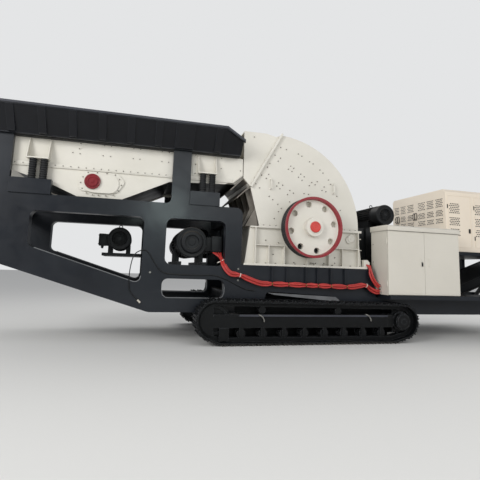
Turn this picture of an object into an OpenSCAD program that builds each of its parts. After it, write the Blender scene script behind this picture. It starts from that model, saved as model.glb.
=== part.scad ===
// Tracked mobile rock crusher: feed hopper and vibrating feeder on the left, rotor
// crusher with flywheel in the middle, cabinet and generator on the right.
// +X runs with the material from hopper to discharge belt, -Y is the flywheel side,
// and the origin is on the ground under the middle of the machine.

/* [Overall] */
// Rear end of the hopper, measured back from the middle of the machine
hopper_reach = 7250; // [6900:10:7400]
// Half of the width over the crawler tracks
track_half_width = 1500; // [1480:10:1560]

/* [Main frame] */
// Distance from the centre line to the outer face of each frame side
frame_y = 1050; // [1040:5:1060]
// Depth of the rims round each frame side, across the machine
frame_rim = 200; // [120:10:240]
// Plate thickness of webs and rims
frame_plate = 20; // [12:1:30]
// Height of the frame where the crusher stands
crusher_deck_z = 1450; // [1400:10:1480]
// Height of the cabinet and generator deck
front_deck_z = 940; // [900:10:980]
// Height of the frame under the feeder
feeder_beam_z = 2560; // [2500:10:2600]
// Underside of the frame on the crawler beams
frame_bottom_z = 540; // [520:5:560]
// Front end of the frame
frame_front_x = 5050; // [4900:10:5300]
// Rear end of the frame
frame_rear_x = -6650; // [-6800:10:-6500]

/* [Crawler tracks] */
// Width of the track shoes
shoe_w = 420; // [380:5:430]
// Number of shoes in one track
shoe_count = 60; // [54:2:66]
// Height of the grouser bars
grouser_h = 25; // [15:1:35]
// Radius over the grousers at the idler
idler_r = 385; // [370:5:400]
// Radius over the grousers at the sprocket
sprocket_r = 360; // [345:5:375]
// Idler centre
idler_x = -2690; // [-2760:10:-2640]
// Sprocket centre
sprocket_x = 1150; // [1100:10:1250]
// Number of lower rollers on each side
roller_count = 8; // [6:1:9]

/* [Crusher] */
// Half width over the crusher's side plates
housing_y = 950; // [900:5:960]
// Rotor shaft position along the machine
shaft_x = -780; // [-820:10:-740]
// Height of the rotor shaft above the ground
shaft_z = 2230; // [2220:5:2240]
// Diameter of the rotor shaft in its bearings
shaft_d = 160; // [140:2:180]
// Radius of the curved back of the hood
hood_r = 1885; // [1860:5:1900]
// Plate thickness of the housing
housing_t = 25; // [16:1:32]
// Radius of the flywheel and of the drive pulley
wheel_r = 605; // [560:5:620]
// Width of the flywheel rim
wheel_w = 270; // [200:5:280]
// Number of holes in the flywheel disc
wheel_holes = 8; // [6:1:10]
// Radius over the blow bars of the rotor
rotor_r = 600; // [500:5:620]

/* [Feeder and hopper] */
// Distance from the centre line to the feeder's side plates
feeder_y = 930; // [880:5:940]
// Top edge of the feeder's side plates
feeder_top_z = 3590; // [3560:5:3600]
// Line of the bolted feeder flange
feeder_flange_z = 3090; // [3050:5:3120]
// Height of the hopper walls
hopper_h = 460; // [380:10:560]
// Half width over the hopper rim
hopper_rim_y = 1450; // [1400:10:1480]
// Spacing of the hopper wall ribs
hopper_rib_pitch = 500; // [460:10:540]

/* [Cabinet and generator] */
// Left edge of the control cabinet
cabinet_x = 840; // [800:5:900]
// Width of the control cabinet
cabinet_w = 1740; // [1600:10:1760]
// Depth of the control cabinet
cabinet_d = 600; // [500:10:640]
// Height of the control cabinet
cabinet_h = 1340; // [1200:10:1400]
// Left face of the generator enclosure
generator_x = 2700; // [2680:10:2800]
// Length of the generator enclosure
generator_l = 2250; // [2000:10:2300]
// Half width of the generator enclosure
generator_y = 970; // [900:10:1050]
// Height of the generator roof above the ground
generator_top_z = 3370; // [3250:10:3550]

/* [Discharge belt] */
// Head end of the discharge belt
belt_head_x = 7250; // [6900:10:7400]
// Width of the discharge belt
belt_w = 1000; // [800:10:1000]
// Slope of the rising part of the belt, in degrees
belt_slope = 20; // [14:1:22]

/* [Hidden] */
$fn = 48;
arc_steps = 6;       // flats in one rounded plate corner
eps = 0.01;          // how far a cutter reaches past the face it opens
seat_gap = 0.3;      // clearance of curved or moving seats
steel_black = "#26282c";
steel_blue = "#34383e";
cream = "#d8d5ca";
red = "#a8252b";

// Outlines with rounded corners
function unit(v) = v / norm(v);
function left_of(v) = [-v[1], v[0]];
function flat(c) = [c[0], c[1]];
function turn(u, v) = atan2(u[0] * v[1] - u[1] * v[0], u * v);
function moved_corner(p, q, s, d) =
  let (n1 = left_of(unit(q - p)), n2 = left_of(unit(s - q))) q + (n1 + n2) * d / (1 + n1 * n2);
function corner_points(p, q, s, r) =
  let (u = unit(q - p), v = unit(s - q), a = turn(u, v), t = r * tan(abs(a) / 2),
       side = a > 0 ? 1 : -1, from = q - u * t, centre = from + left_of(u) * side * r,
       arm = from - centre)
  r <= 0 || abs(a) < 1 ? [q] :
  [for (i = [0:arc_steps]) let (b = a * i / arc_steps)
    centre + [arm[0] * cos(b) - arm[1] * sin(b), arm[0] * sin(b) + arm[1] * cos(b)]];
// corners are [x, z, radius], anticlockwise; inset moves every edge inwards
function outline(corners, inset = 0) =
  let (n = len(corners),
       moved = [for (i = [0:n - 1]) moved_corner(flat(corners[(i + n - 1) % n]),
                  flat(corners[i]), flat(corners[(i + 1) % n]), inset)])
  [for (i = [0:n - 1])
    let (before = flat(corners[(i + n - 1) % n]), here = flat(corners[i]),
         after = flat(corners[(i + 1) % n]), r = corners[i][2],
         convex = turn(here - before, after - here) > 0)
    each corner_points(moved[(i + n - 1) % n], moved[i], moved[(i + 1) % n],
      r <= 0 ? 0 : max(1, convex ? r - inset : r + inset))];
function box_corners(x0, z0, x1, z1, r) = [[x0, z0, r], [x1, z0, r], [x1, z1, r], [x0, z1, r]];

// A plate or bar drawn in the side view, from y0 to y1
module across(y0, y1) {
  translate([0, y1, 0]) rotate([90, 0, 0]) linear_extrude(y1 - y0) children();
}
// A bar drawn in the end view (y, z), from x0 to x1
module lengthways(x0, x1) {
  translate([x0, 0, 0]) rotate([90, 0, 90]) linear_extrude(x1 - x0) children();
}
module box(lo, hi) {
  translate(lo) cube(hi - lo);
}
// A round bar along Y
module shaft_y(x, z, r, y0, y1, sides = 64) {
  translate([x, y0, z]) rotate([-90, 0, 0]) cylinder(r = r, h = y1 - y0, $fn = sides);
}
module far_side() {
  mirror([0, 1, 0]) children();
}

// Main frame
beam_slope = 0.315;                       // rise of the rear beam for each step back
knee_x = -3870;
crusher_deck_x = [-2150, 700];
front_beam_z = front_deck_z - 80;
front_bottom_z = 520;
post_x = [-3560, -3210];
rear_post_x = [frame_rear_x, frame_rear_x + 300];
post_top_z = 3600;
post_depth = frame_y - feeder_y - 25;       // posts beside the feeder stay clear of it
arch = [[-1720, frame_bottom_z, 40], [-1620, 950, 90], [-120, 870, 90], [-20, frame_bottom_z, 40]];
frame_corners = concat(
  [[frame_rear_x, frame_bottom_z - (frame_rear_x - knee_x) * beam_slope, 60],
   [knee_x, frame_bottom_z, 300]],
  arch,
  [[700, frame_bottom_z, 0], [760, front_bottom_z, 0],
   [frame_front_x - 260, front_bottom_z, 60], [frame_front_x, front_bottom_z + 150, 60],
   [frame_front_x, front_beam_z, 20], [crusher_deck_x[1] + 110, front_beam_z, 40],
   [crusher_deck_x[1], crusher_deck_z, 20], [crusher_deck_x[0], crusher_deck_z, 20],
   [crusher_deck_x[0], feeder_beam_z, 130], [post_x[1], feeder_beam_z, 0],
   [post_x[1], post_top_z, 0], [post_x[0], post_top_z, 0], [post_x[0], feeder_beam_z, 100],
   [rear_post_x[1], feeder_beam_z, 0], [rear_post_x[1], post_top_z, 0],
   [rear_post_x[0], post_top_z, 0]]);
rear_window = [[-5970, 1660, 110], [-4030, 1040, 110], [-4030, 2270, 110], [-5970, 2270, 110]];
motor_window = box_corners(-3620, 1410, -2480, 2275, 120);
slot_window = box_corners(-3650, 800, -2470, 1150, 110);
windows = [rear_window, motor_window, slot_window];
web_rib_x = [-1530, -1220, -810, -555, -260, 60];
web_rib_h = 330;
web_rib_out = 50;

module frame_outline(grow) {
  difference() {
    polygon(outline(frame_corners, grow));
    for (w = windows) polygon(outline(w, -grow));
  }
}
module frame_side() {
  color(steel_blue) difference() {
    across(-frame_y, -frame_y + frame_rim) frame_outline(0);
    across(-frame_y + frame_plate, -frame_y + frame_rim + eps) frame_outline(frame_plate);
    box([frame_rear_x - 1, -frame_y + post_depth, feeder_beam_z],
        [post_x[1] + 1, -frame_y + frame_rim + 1, post_top_z + 1]);
  }
  color(steel_black) for (x = web_rib_x)
    box([x - 8, -frame_y - web_rib_out, crusher_deck_z - web_rib_h],
        [x + 8, -frame_y, crusher_deck_z]);
}
web_y = frame_y - frame_plate;            // inner face of the web plates
module cross_member(x, z, w, h) {
  difference() {
    box([x, -web_y, z], [x + w, web_y, z + h]);
    box([x + frame_plate, -web_y - 1, z + frame_plate],
        [x + w - frame_plate, web_y + 1, z + h - frame_plate]);
  }
}
cross_members = [[frame_rear_x + 40, 2300, 180, 200], [frame_rear_x + 40, 1500, 180, 200],
  [-3960, 2290, 220, 220], [-3960, 700, 220, 220], [-2400, 2290, 200, 200],
  [-2380, 720, 200, 200], [frame_front_x - 450, 560, 180, 170]];
module frame_cross_members() {
  color(steel_black) for (m = cross_members) cross_member(m[0], m[1], m[2], m[3]);
}

// Crawler undercarriage
track_inner_y = track_half_width - shoe_w;
chain_y = track_half_width - shoe_w / 2;  // middle of the chain across the machine
beam_half = 110;                          // half width of a crawler beam
track_beam_x = [-2250, 820];
track_beam_z = [310, 545];
side_plate_x = -2730;                     // rear end of the beam's outer plate
idler_z = 440;
sprocket_z = 425;
ground_run_x = [-2600, 950];              // stretch of chain that lies on the ground
shoe_t = 30;
link_h = 75;
rail_gap = 30;                            // half of the gap between the two rails
rail_t = 50;
chain_depth = grouser_h + shoe_t + link_h;
cross_beam_x = [-2250, 80];
cross_beam_w = 300;

function tangent_angle(p, c, r, side) =
  let (d = p - c) atan2(d[1], d[0]) + side * acos(r / norm(d));
sprocket_c = [sprocket_x, sprocket_z];
idler_c = [idler_x, idler_z];
sprocket_a0 = tangent_angle([ground_run_x[1], 0], sprocket_c, sprocket_r, 1);
idler_a1 = 360 + tangent_angle([ground_run_x[0], 0], idler_c, idler_r, -1);
function on_circle(c, r, a) = c + r * [cos(a), sin(a)];
// The loop over the grouser tips as [start, end] lines and [centre, radius, from, to] arcs
track_path = [
  [[ground_run_x[0], 0], [ground_run_x[1], 0]],
  [[ground_run_x[1], 0], on_circle(sprocket_c, sprocket_r, sprocket_a0)],
  [sprocket_c, sprocket_r, sprocket_a0, 90],
  [on_circle(sprocket_c, sprocket_r, 90), on_circle(idler_c, idler_r, 90)],
  [idler_c, idler_r, 90, idler_a1],
  [on_circle(idler_c, idler_r, idler_a1), [ground_run_x[0], 0]]];
function span(s) = len(s) == 2 ? norm(s[1] - s[0]) : s[1] * (s[3] - s[2]) * PI / 180;
// [point, outward direction] at a distance d along one stretch
function at(s, d) = len(s) == 2
  ? let (u = unit(s[1] - s[0])) [s[0] + u * d, -left_of(u)]
  : let (a = s[2] + d / s[1] * 180 / PI) [on_circle(s[0], s[1], a), [cos(a), sin(a)]];
function along(d, i = 0) =
  d <= span(track_path[i]) || i == len(track_path) - 1
  ? at(track_path[i], d) : along(d - span(track_path[i]), i + 1);
function total(i = 0) = i == len(track_path) ? 0 : span(track_path[i]) + total(i + 1);
shoe_pitch = total() / shoe_count;
shoe_cut = shoe_t - 8;                    // depth of the gap between two shoes
// One shoe as [distance along its pitch, depth below the grouser tips]
shoe_profile = [[0.06, grouser_h + shoe_cut], [0.06, grouser_h], [0.14, grouser_h], [0.16, 0],
  [0.24, 0], [0.28, grouser_h], [0.48, grouser_h], [0.51, 0], [0.59, 0], [0.62, grouser_h],
  [0.88, grouser_h], [0.94, grouser_h + 6], [0.94, grouser_h + shoe_cut]];
function chain_ring(depth) = [for (i = [0:2 * shoe_count - 1])
  let (p = along((i + 0.5) * shoe_pitch / 2)) p[0] - p[1] * depth];
function shoe_ring() = [for (i = [0:shoe_count - 1], q = shoe_profile)
  let (p = along((i + q[0]) * shoe_pitch)) p[0] - p[1] * q[1]];

module track_chain() {
  color(steel_black) {
    across(-track_half_width, -track_inner_y) difference() {
      polygon(shoe_ring());
      polygon(chain_ring(grouser_h + shoe_t));
    }
    for (side = [-1, 1]) let (y = -chain_y + side * (rail_gap + rail_t / 2))
      across(y - rail_t / 2, y + rail_t / 2) difference() {
        polygon(chain_ring(grouser_h + shoe_t - 1));
        polygon(chain_ring(chain_depth));
      }
  }
}
module track_beam() {
  outer = -chain_y - beam_half;
  plate = 12;
  rim = 35;
  color(steel_black) {
    box([track_beam_x[0], outer, track_beam_z[0]],
        [track_beam_x[1], -chain_y + beam_half, track_beam_z[1]]);
    box([side_plate_x, outer - plate, track_beam_z[0]],
        [track_beam_x[1], outer, track_beam_z[1] - rim]);
    box([side_plate_x, outer - plate - 15, track_beam_z[1] - rim],
        [track_beam_x[1], outer, track_beam_z[1]]);
    box([side_plate_x + 110, outer - plate - 20, 85],
        [side_plate_x + 290, outer - plate, track_beam_z[0]]);
    across(outer - plate, outer) intersection() {
      translate(idler_c) circle(r = idler_r - grouser_h - shoe_t - 55);
      translate([idler_c[0] - idler_r, 0]) square([idler_r + side_plate_x - idler_c[0], 2 * idler_r]);
    }
    for (x = roller_xs, y = [outer, -chain_y + beam_half - 20])
      box([x - 35, y, roller_z - 35], [x + 35, y + 20, track_beam_z[0]]);
  }
  color(steel_black) for (side = [-1, 1])
    let (y = -chain_y + side * (beam_half - 12)) {
      box([idler_x - 60, y - 12, idler_z - 60], [track_beam_x[0], y + 12, idler_z + 60]);
      box([track_beam_x[1], y - 12, track_beam_z[0]],
          [sprocket_x - hub_r - seat_gap, y + 12, track_beam_z[1]]);
    }
}
// Wheels run inside the flats of the links
function inside_flats(r) = (r - chain_depth) * cos(shoe_pitch / r * 45 / PI) - seat_gap;
tread_r = [inside_flats(idler_r), inside_flats(sprocket_r)];
module idler_wheel() {
  color(steel_black) difference() {
    union() {
      shaft_y(idler_x, idler_z, tread_r[0], -chain_y - 80, -chain_y + 80);
      shaft_y(idler_x, idler_z, tread_r[0] + 35, -chain_y - rail_gap + 4, -chain_y + rail_gap - 4);
    }
    for (side = [-1, 1])
      translate([idler_x, -chain_y + side * 65, idler_z]) rotate([90, 0, 0])
        difference() {
          cylinder(r = tread_r[0] - 40, h = 40, center = true, $fn = 64);
          cylinder(r = 75, h = 60, center = true, $fn = 48);
        }
  }
  color(steel_black) shaft_y(idler_x, idler_z, 40, -chain_y - 86, -chain_y + 86, 32);
}
sprocket_teeth = 13;
hub_r = 190;
function tooth_points(n, r0, r1) = [for (i = [0:n - 1]) each
  [for (k = [[0, r0], [0.3, r0], [0.42, r1], [0.58, r1], [0.7, r0]])
    let (a = (i + k[0]) * 360 / n) k[1] * [cos(a), sin(a)]]];
module drive_sprocket() {
  color(steel_black) translate([sprocket_x, 0, sprocket_z]) {
    across(-chain_y - 22, -chain_y + 22)
      polygon(tooth_points(sprocket_teeth, tread_r[1] - 10, tread_r[1] + 45));
    shaft_y(0, 0, hub_r, -chain_y - 95, -chain_y - 22);
    shaft_y(0, 0, 165, -chain_y - 175, -chain_y - 95);
    shaft_y(0, 0, 140, -chain_y - 190, -chain_y - 175);
    shaft_y(0, 0, 150, -chain_y + 22, -chain_y + 95);
  }
}
roller_r = 70;
roller_z = chain_depth + roller_r + seat_gap;
carrier_r = 55;
carrier_x = [-1800, -250];
function top_run_z(x) = let (a = on_circle(sprocket_c, sprocket_r, 90),
  b = on_circle(idler_c, idler_r, 90)) a[1] + (b[1] - a[1]) * (x - a[0]) / (b[0] - a[0]);
flange_y = rail_gap + rail_t + seat_gap;  // roller flanges run outside the rails
module roller(x, z, r, flange) {
  for (side = [0, 1]) translate([0, -chain_y, 0]) mirror([0, side, 0]) {
    shaft_y(x, z, r, rail_gap, flange_y, 40);
    shaft_y(x, z, flange, flange_y, flange_y + 8, 40);
    shaft_y(x, z, r - 15, 0, rail_gap, 40);
  }
}
roller_pitch = (ground_run_x[1] - ground_run_x[0] - 650) / (roller_count - 1);
roller_xs = [for (i = [0:roller_count - 1]) ground_run_x[0] + 400 + i * roller_pitch];
module track_rollers() {
  color(steel_black) for (x = roller_xs) {
    roller(x, roller_z, roller_r, roller_r + 12);
    shaft_y(x, roller_z, 25, -chain_y - beam_half + 20, -chain_y + beam_half - 20, 32);
  }
  color(steel_black) for (x = carrier_x) let (z = top_run_z(x) - chain_depth - carrier_r - 3) {
    roller(x, z, carrier_r, carrier_r + 10);
    box([x - 40, -chain_y - 22, track_beam_z[1]], [x + 40, -chain_y + 22, z - carrier_r + 30]);
  }
}
module undercarriage_beams() {
  y = chain_y - beam_half;
  color(steel_black) {
    for (x = cross_beam_x)
      box([x, -y, frame_bottom_z - 280], [x + cross_beam_w, y, frame_bottom_z]);
    box([cross_beam_x[0] + cross_beam_w, -450, frame_bottom_z - 260],
        [cross_beam_x[1], 450, frame_bottom_z - 20]);
  }
}

// Crusher housing
base_x = [-2100, 610];
base_flange_t = 40;
split_z = 2230;
ledge_z = 1850;
split_x = [-1970, 500];                   // flange along the split line
split_out = 60;
bearing_foot = 260;
shaft_hole = 200;
base_floor = crusher_deck_z + base_flange_t;
base_corners = [[-2060, base_floor, 0], [530, base_floor, 0], [445, split_z, 0], [-1960, split_z, 0]];
outlet_x = [-1650, 200];
outlet_y = 700;
rib_t = 16;
rib_out = 90;
module side_ribs() {
  y0 = -housing_y - rib_out;
  for (x = [-1870, 405]) box([x, y0, base_floor], [x + rib_t, -housing_y, split_z - 25]);
  for (x = [-1590, -1260, -750, -280, 30])
    box([x, y0, base_floor], [x + rib_t, -housing_y, ledge_z]);
  for (x = [[-1870 + rib_t, -1244], [-280, 405]])
    box([x[0], y0, ledge_z], [x[1], -housing_y, ledge_z + rib_t]);
}
module crusher_base() {
  color(cream) {
    difference() {
      box([base_x[0], -frame_y, crusher_deck_z], [base_x[1], frame_y, base_floor]);
      box([outlet_x[0], -outlet_y, crusher_deck_z - 1], [outlet_x[1], outlet_y, base_floor + 1]);
    }
    difference() {
      across(-housing_y, housing_y) polygon(outline(base_corners));
      across(-housing_y + housing_t, housing_y - housing_t)
        polygon([[-2060 + housing_t, base_floor - 1], [530 - housing_t, base_floor - 1],
                 [445 - housing_t, split_z + 1], [-1960 + housing_t, split_z + 1]]);
      shaft_y(shaft_x, shaft_z, shaft_hole, -housing_y - 1, housing_y + 1);
    }
    for (side = [0, 1]) mirror([0, side, 0]) {
      side_ribs();
      for (x = [[split_x[0], shaft_x - bearing_foot], [shaft_x + bearing_foot, split_x[1]]])
        box([x[0], -housing_y - split_out, split_z - 25], [x[1], -housing_y, split_z]);
      shaft_y(230, 2050, 75, -housing_y - 30, -housing_y, 40);
    }
    for (z = [1820, 2040]) across(-200, 200)
      polygon([[530 - (z - base_floor) * 0.115, z], [600 - (z - base_floor) * 0.115, z],
               [530 - (z - base_floor) * 0.115, z + 50]]);
  }
}
hood_c = [-1434, 2300];
joint = [[-1980, 3030], [-1340, 4180]];   // line of the bolted joint, low end first
joint_u = unit(joint[1] - joint[0]);
front_foot = [-1770, split_z];
module crusher_hood() {
  color(cream) {
    difference() {
      intersection() {
        across(-housing_y, housing_y) polygon([joint[0], front_foot, [hood_c[0] + 2000, split_z],
          [hood_c[0] + 2000, 4400], joint[1] + joint_u * 300]);
        shaft_y(hood_c[0], hood_c[1], hood_r, -housing_y, housing_y, 180);
      }
      intersection() {
        across(-housing_y + housing_t, housing_y - housing_t)
          polygon([joint[0] - [400, 0], front_foot - [400, 10], [hood_c[0] + 2000, split_z - 10],
            [hood_c[0] + 2000, 4400], joint[1] + joint_u * 300 - [400, 0]]);
        shaft_y(hood_c[0], hood_c[1], hood_r - housing_t, -housing_y, housing_y, 180);
      }
      shaft_y(shaft_x, shaft_z, shaft_hole, -housing_y - 1, housing_y + 1);
    }
    for (side = [0, 1]) mirror([0, side, 0]) difference() {
      box([front_foot[0] - 20, -housing_y - split_out, split_z],
          [split_x[1], -housing_y, split_z + 22]);
      shaft_y(shaft_x, shaft_z, shaft_hole, -housing_y - 100, -housing_y + 1);
    }
    joint_flange(0);
  }
}
// A flange round the bolted joint, on its hood side (0) or its inlet side (1)
flange_t = 22;
module joint_flange(side) {
  translate([joint[0][0], 0, joint[0][1]])
    rotate([0, -atan2(joint_u[1], joint_u[0]), 0]) {
      len = norm(joint[1] - joint[0]);
      z = side == 0 ? -flange_t : 0;
      for (y = [-housing_y - 55, housing_y])
        translate([0, y, z]) cube([len + 30, 55, flange_t]);
    }
}
inlet_foot = [-2130, 3200];
inlet_corners = [[-1980, 3030], [-1340, 4180], [-1450, 4135], [-1660, 4185], [-2140, 4185],
  inlet_foot];
module crusher_inlet_hood() {
  color(cream) {
    difference() {
      across(-housing_y, housing_y) polygon(inlet_corners);
      across(-housing_y + housing_t, housing_y - housing_t)
        polygon([[-1980 + 300, 3030 + 18 - 300 * 0.28], [-1340 + 200, 4180 - 45 + 100],
          [-1450, 4135 - housing_t], [-1660, 4185 - housing_t], [-2200, 4185 - housing_t],
          [-2200, 3200 + housing_t + 30], [-2130, 3200 + housing_t + 10], [-1980, 3030 + 32]]);
    }
    joint_flange(1);
  }
}
// Folded wall below the inlet, with stiffening ribs and a sloping lip under the feeder
fold = [[-1975, 3010], [-1862, 2600], [-2060, split_z]];
fold_t = 25;
fold_rib = 75;
lip = [-262, -253];                       // run of the lip from the joint's low end
module crusher_front_wall() {
  y = housing_y - housing_t;
  lip_y = housing_y - 30;
  color("#8f8a80") {
    across(-y, y)
      polygon(concat(fold, [for (i = [2:-1:0]) fold[i] + [fold_t, 0]]));
    across(-lip_y, lip_y) difference() {
      polygon([joint[0], inlet_foot, inlet_foot + lip, joint[0] + lip]);
      polygon([joint[0] + [-8, 25], inlet_foot + [-4, -25], inlet_foot + lip * 1.1 + [8, -25],
               joint[0] + lip * 1.1 + [4, 25]]);
    }
    for (i = [-2:2]) across(i * y * 0.42 - 8, i * y * 0.42 + 8)
      polygon([fold[0] - [fold_rib, 55], fold[1] - [fold_rib, 0], fold[2] - [fold_rib * 0.4, 0],
               fold[2], fold[1], fold[0]]);
    for (side = [0, 1]) mirror([0, side, 0]) across(-y, -y + 16)
      polygon([fold[1] + [0, -20], fold[2], front_foot + [-fold_t, 0]]);
  }
}
module outlet_chute() {
  top = crusher_deck_z;
  low = belt_z + 160;
  y = [520, outlet_y + 40];
  color("#5a5651") {
    for (side = [0, 1]) mirror([0, side, 0]) lengthways(outlet_x[0] - 20, outlet_x[1] + 20)
      polygon([[y[0], low], [y[0] + 14, low], [y[1], top - 20], [y[1], top], [y[1] - 14, top]]);
    for (x = [outlet_x[0] - 20, outlet_x[1]]) lengthways(x, x + 20)
      polygon([[-y[0], low + 40], [y[0], low + 40], [y[1] - 14, top], [14 - y[1], top]]);
  }
}

// Rotor, flywheel and belt drive
bearing_y = [-1150, -housing_y];
wheel_y = -1430;
rotor_half = 700;
module bearing_housings() {
  color(cream) for (side = [0, 1]) mirror([0, side, 0]) difference() {
    union() {
      shaft_y(shaft_x, shaft_z, 190, bearing_y[0], bearing_y[1]);
      box([shaft_x - bearing_foot, bearing_y[0] + 20, ledge_z + 40],
          [shaft_x + bearing_foot, bearing_y[1], shaft_z]);
      box([shaft_x - 320, bearing_y[0] + 10, ledge_z], [shaft_x + 320, bearing_y[1], ledge_z + 40]);
    }
    shaft_y(shaft_x, shaft_z, shaft_d / 2 + 0.05, bearing_y[0] - 1, bearing_y[1] + 1);
  }
}
module rotor() {
  color("#6f6a64") {
    shaft_y(shaft_x, shaft_z, shaft_d / 2, wheel_y + 40, -wheel_y - 40);
    shaft_y(shaft_x, shaft_z, rotor_r - 110, -rotor_half, rotor_half);
    for (a = [45:90:315]) translate([shaft_x, 0, shaft_z]) rotate([0, a, 0])
      box([rotor_r - 180, -rotor_half, -35], [rotor_r, rotor_half, 35]);
  }
}
groove_n = 8;
hole_turn = 11;                           // turn of the holes at rest, in degrees
hole_ring = 465;
hole_r = 60;
module wheel_body() {
  groove = wheel_w * 0.75 / groove_n;
  rim_in = wheel_r - 45;
  rotate([90, 0, 0]) difference() {
    rotate_extrude($fn = 96) polygon(concat(
      [[shaft_d / 2 + 0.5, wheel_w / 2 - 60], [180, wheel_w / 2 - 60], [180, -20 - 30],
       [rim_in - 30, -20 - 30], [rim_in, -wheel_w / 2], [wheel_r, -wheel_w / 2]],
      [for (i = [0:groove_n - 1]) let (h = -wheel_w / 2 + 20 + i * groove)
        each [[wheel_r, h], [wheel_r - 18, h + groove * 0.3], [wheel_r - 18, h + groove * 0.6],
              [wheel_r, h + groove * 0.9]]],
      [[wheel_r, wheel_w / 2], [rim_in, wheel_w / 2], [rim_in - 15, 40], [190, 40],
       [180, wheel_w / 2 + 10], [shaft_d / 2 + 0.5, wheel_w / 2 + 10]]));
    for (i = [0:wheel_holes - 1]) rotate(i * 360 / wheel_holes + hole_turn)
      translate([hole_ring, 0, 0]) cylinder(r = hole_r, h = wheel_w * 2, center = true, $fn = 40);
  }
}
module flywheel() {
  color(cream) translate([shaft_x, wheel_y + wheel_w / 2, shaft_z]) wheel_body();
}
module drive_pulley() {
  color(cream) translate([shaft_x, -wheel_y - wheel_w / 2, shaft_z]) mirror([0, 1, 0]) wheel_body();
}
left_motor_c = [-3110, 1850];
right_motor_c = [1490, 2740];
motor_pulley_r = 170;
belt_slack = 7;                           // clearance of the fixed belt loops
belt_y = [1170, 1310];                    // left and right belt sets
belt_set_w = 110;
guard_y = [1120, 1490];
module belt_loop(c, grow) {
  hull() {
    translate(c) circle(r = motor_pulley_r + grow);
    translate([shaft_x, shaft_z]) circle(r = wheel_r + belt_slack + grow);
  }
}
module drive_belts() {
  color("#1b1b1c") for (b = [[left_motor_c, belt_y[0]], [right_motor_c, belt_y[1]]])
    across(b[1], b[1] + belt_set_w) difference() {
      belt_loop(b[0], 12);
      belt_loop(b[0], 0);
    }
}
module guard_shape(grow) {
  hull() {
    translate(left_motor_c) circle(r = motor_pulley_r + 50 + grow);
    translate([shaft_x, shaft_z]) circle(r = wheel_r + 45 + grow);
  }
  hull() {
    translate(right_motor_c) circle(r = motor_pulley_r + 50 + grow);
    translate([shaft_x, shaft_z]) circle(r = wheel_r + 45 + grow);
  }
}
module belt_guard() {
  color(steel_black) difference() {
    across(guard_y[0], guard_y[1]) guard_shape(20);
    across(guard_y[0] - 1, guard_y[1] - 10) guard_shape(0);
  }
  color(steel_black) {
    box([-2340, frame_y, 2360], [-2260, guard_y[0] + 200, 2450]);
    box([right_motor_c[0] - 50, guard_y[0] + 80, front_deck_z],
        [right_motor_c[0] + 50, guard_y[1] - 90, right_motor_c[1] - motor_pulley_r - 52]);
  }
}

// Motors
module motor_body(l, r) {
  fins = 28;
  rotate([-90, 0, 0]) {
    cylinder(r = r * 0.86, h = l, $fn = 48);
    for (i = [0:fins - 1]) rotate(i * 360 / fins) translate([0, -4, l * 0.24])
      cube([r, 8, l * 0.62]);
    cylinder(r = r * 0.98, h = l * 0.22, $fn = 48);
    translate([0, 0, l * 0.88]) cylinder(r = r, h = l * 0.1, $fn = 48);
    translate([0, 0, l]) cylinder(r = r * 0.22, h = 60, $fn = 32);
  }
}
module motor(c, y0, l, r, box_side) {
  color("#2b2d30") difference() {
    translate([c[0], y0, c[1]]) {
      motor_body(l, r);
      if (box_side != 0) {
        box([box_side > 0 ? r * 0.7 : -r * 1.75, l * 0.3, -r * 0.6],
            [box_side > 0 ? r * 1.75 : -r * 0.7, l * 0.62, r * 0.42]);
      }
      for (x = [-r * 0.95, r * 0.95 - 90]) box([x, l * 0.3, -r * 1.25], [x + 90, l * 0.8, -r * 0.5]);
    }
    translate([c[0], y0 - 1, c[1]]) rotate([-90, 0, 0]) difference() {
      cylinder(r = r * 0.62, h = 40, $fn = 48);
      cylinder(r = r * 0.36, h = 45, $fn = 48);
    }
  }
}
left_motor_r = 300;
right_motor_r = 245;
motor_l = 1180;
left_motor_y = -900;
right_motor_y = -420;
motor_shaft_r = 60;
// Shaft and belt pulley from the end of a motor to its belts
module motor_drive(c, y0, belts) {
  color("#2b2d30") {
    shaft_y(c[0], c[1], motor_shaft_r, y0 + motor_l, belts + belt_set_w + 10);
    shaft_y(c[0], c[1], motor_pulley_r - 1, belts - 10, belts + belt_set_w + 10);
  }
}
module left_motor() {
  motor(left_motor_c, left_motor_y, motor_l, left_motor_r, 1);
  motor_drive(left_motor_c, left_motor_y, belt_y[0]);
}
module right_motor() {
  motor(right_motor_c, right_motor_y, motor_l, right_motor_r, 0);
  motor_drive(right_motor_c, right_motor_y, belt_y[1]);
}
module left_motor_base() {
  z = [motor_window[0][1], left_motor_c[1] - left_motor_r * 1.25];
  color(steel_black) for (x = [left_motor_c[0] - 285, left_motor_c[0] + 195])
    box([x, -frame_y + 50, z[0]], [x + 90, frame_y - 50, z[1]]);
}
module right_motor_stand() {
  z = right_motor_c[1] - right_motor_r * 1.25;
  color(steel_black) {
    for (x = [right_motor_c[0] - 380, right_motor_c[0] + 280],
         y = [right_motor_y + 40, right_motor_y + motor_l - 200])
      box([x, y, front_deck_z], [x + 100, y + 100, z - 40]);
    box([right_motor_c[0] - 400, right_motor_y + 20, z - 40],
        [right_motor_c[0] + 400, right_motor_y + motor_l - 60, z]);
  }
}
feeder_motor_c = [-4490, 1910];
feeder_motor_r = 240;
module feeder_motor() {
  motor(feeder_motor_c, 60, 700, feeder_motor_r, -1);
}
module feeder_motor_shelf() {
  z = feeder_motor_c[1] - feeder_motor_r * 1.25;
  color(steel_black)
    box([feeder_motor_c[0] - 330, 20, z - 60], [rear_window[1][0], web_y, z]);
}

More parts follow.
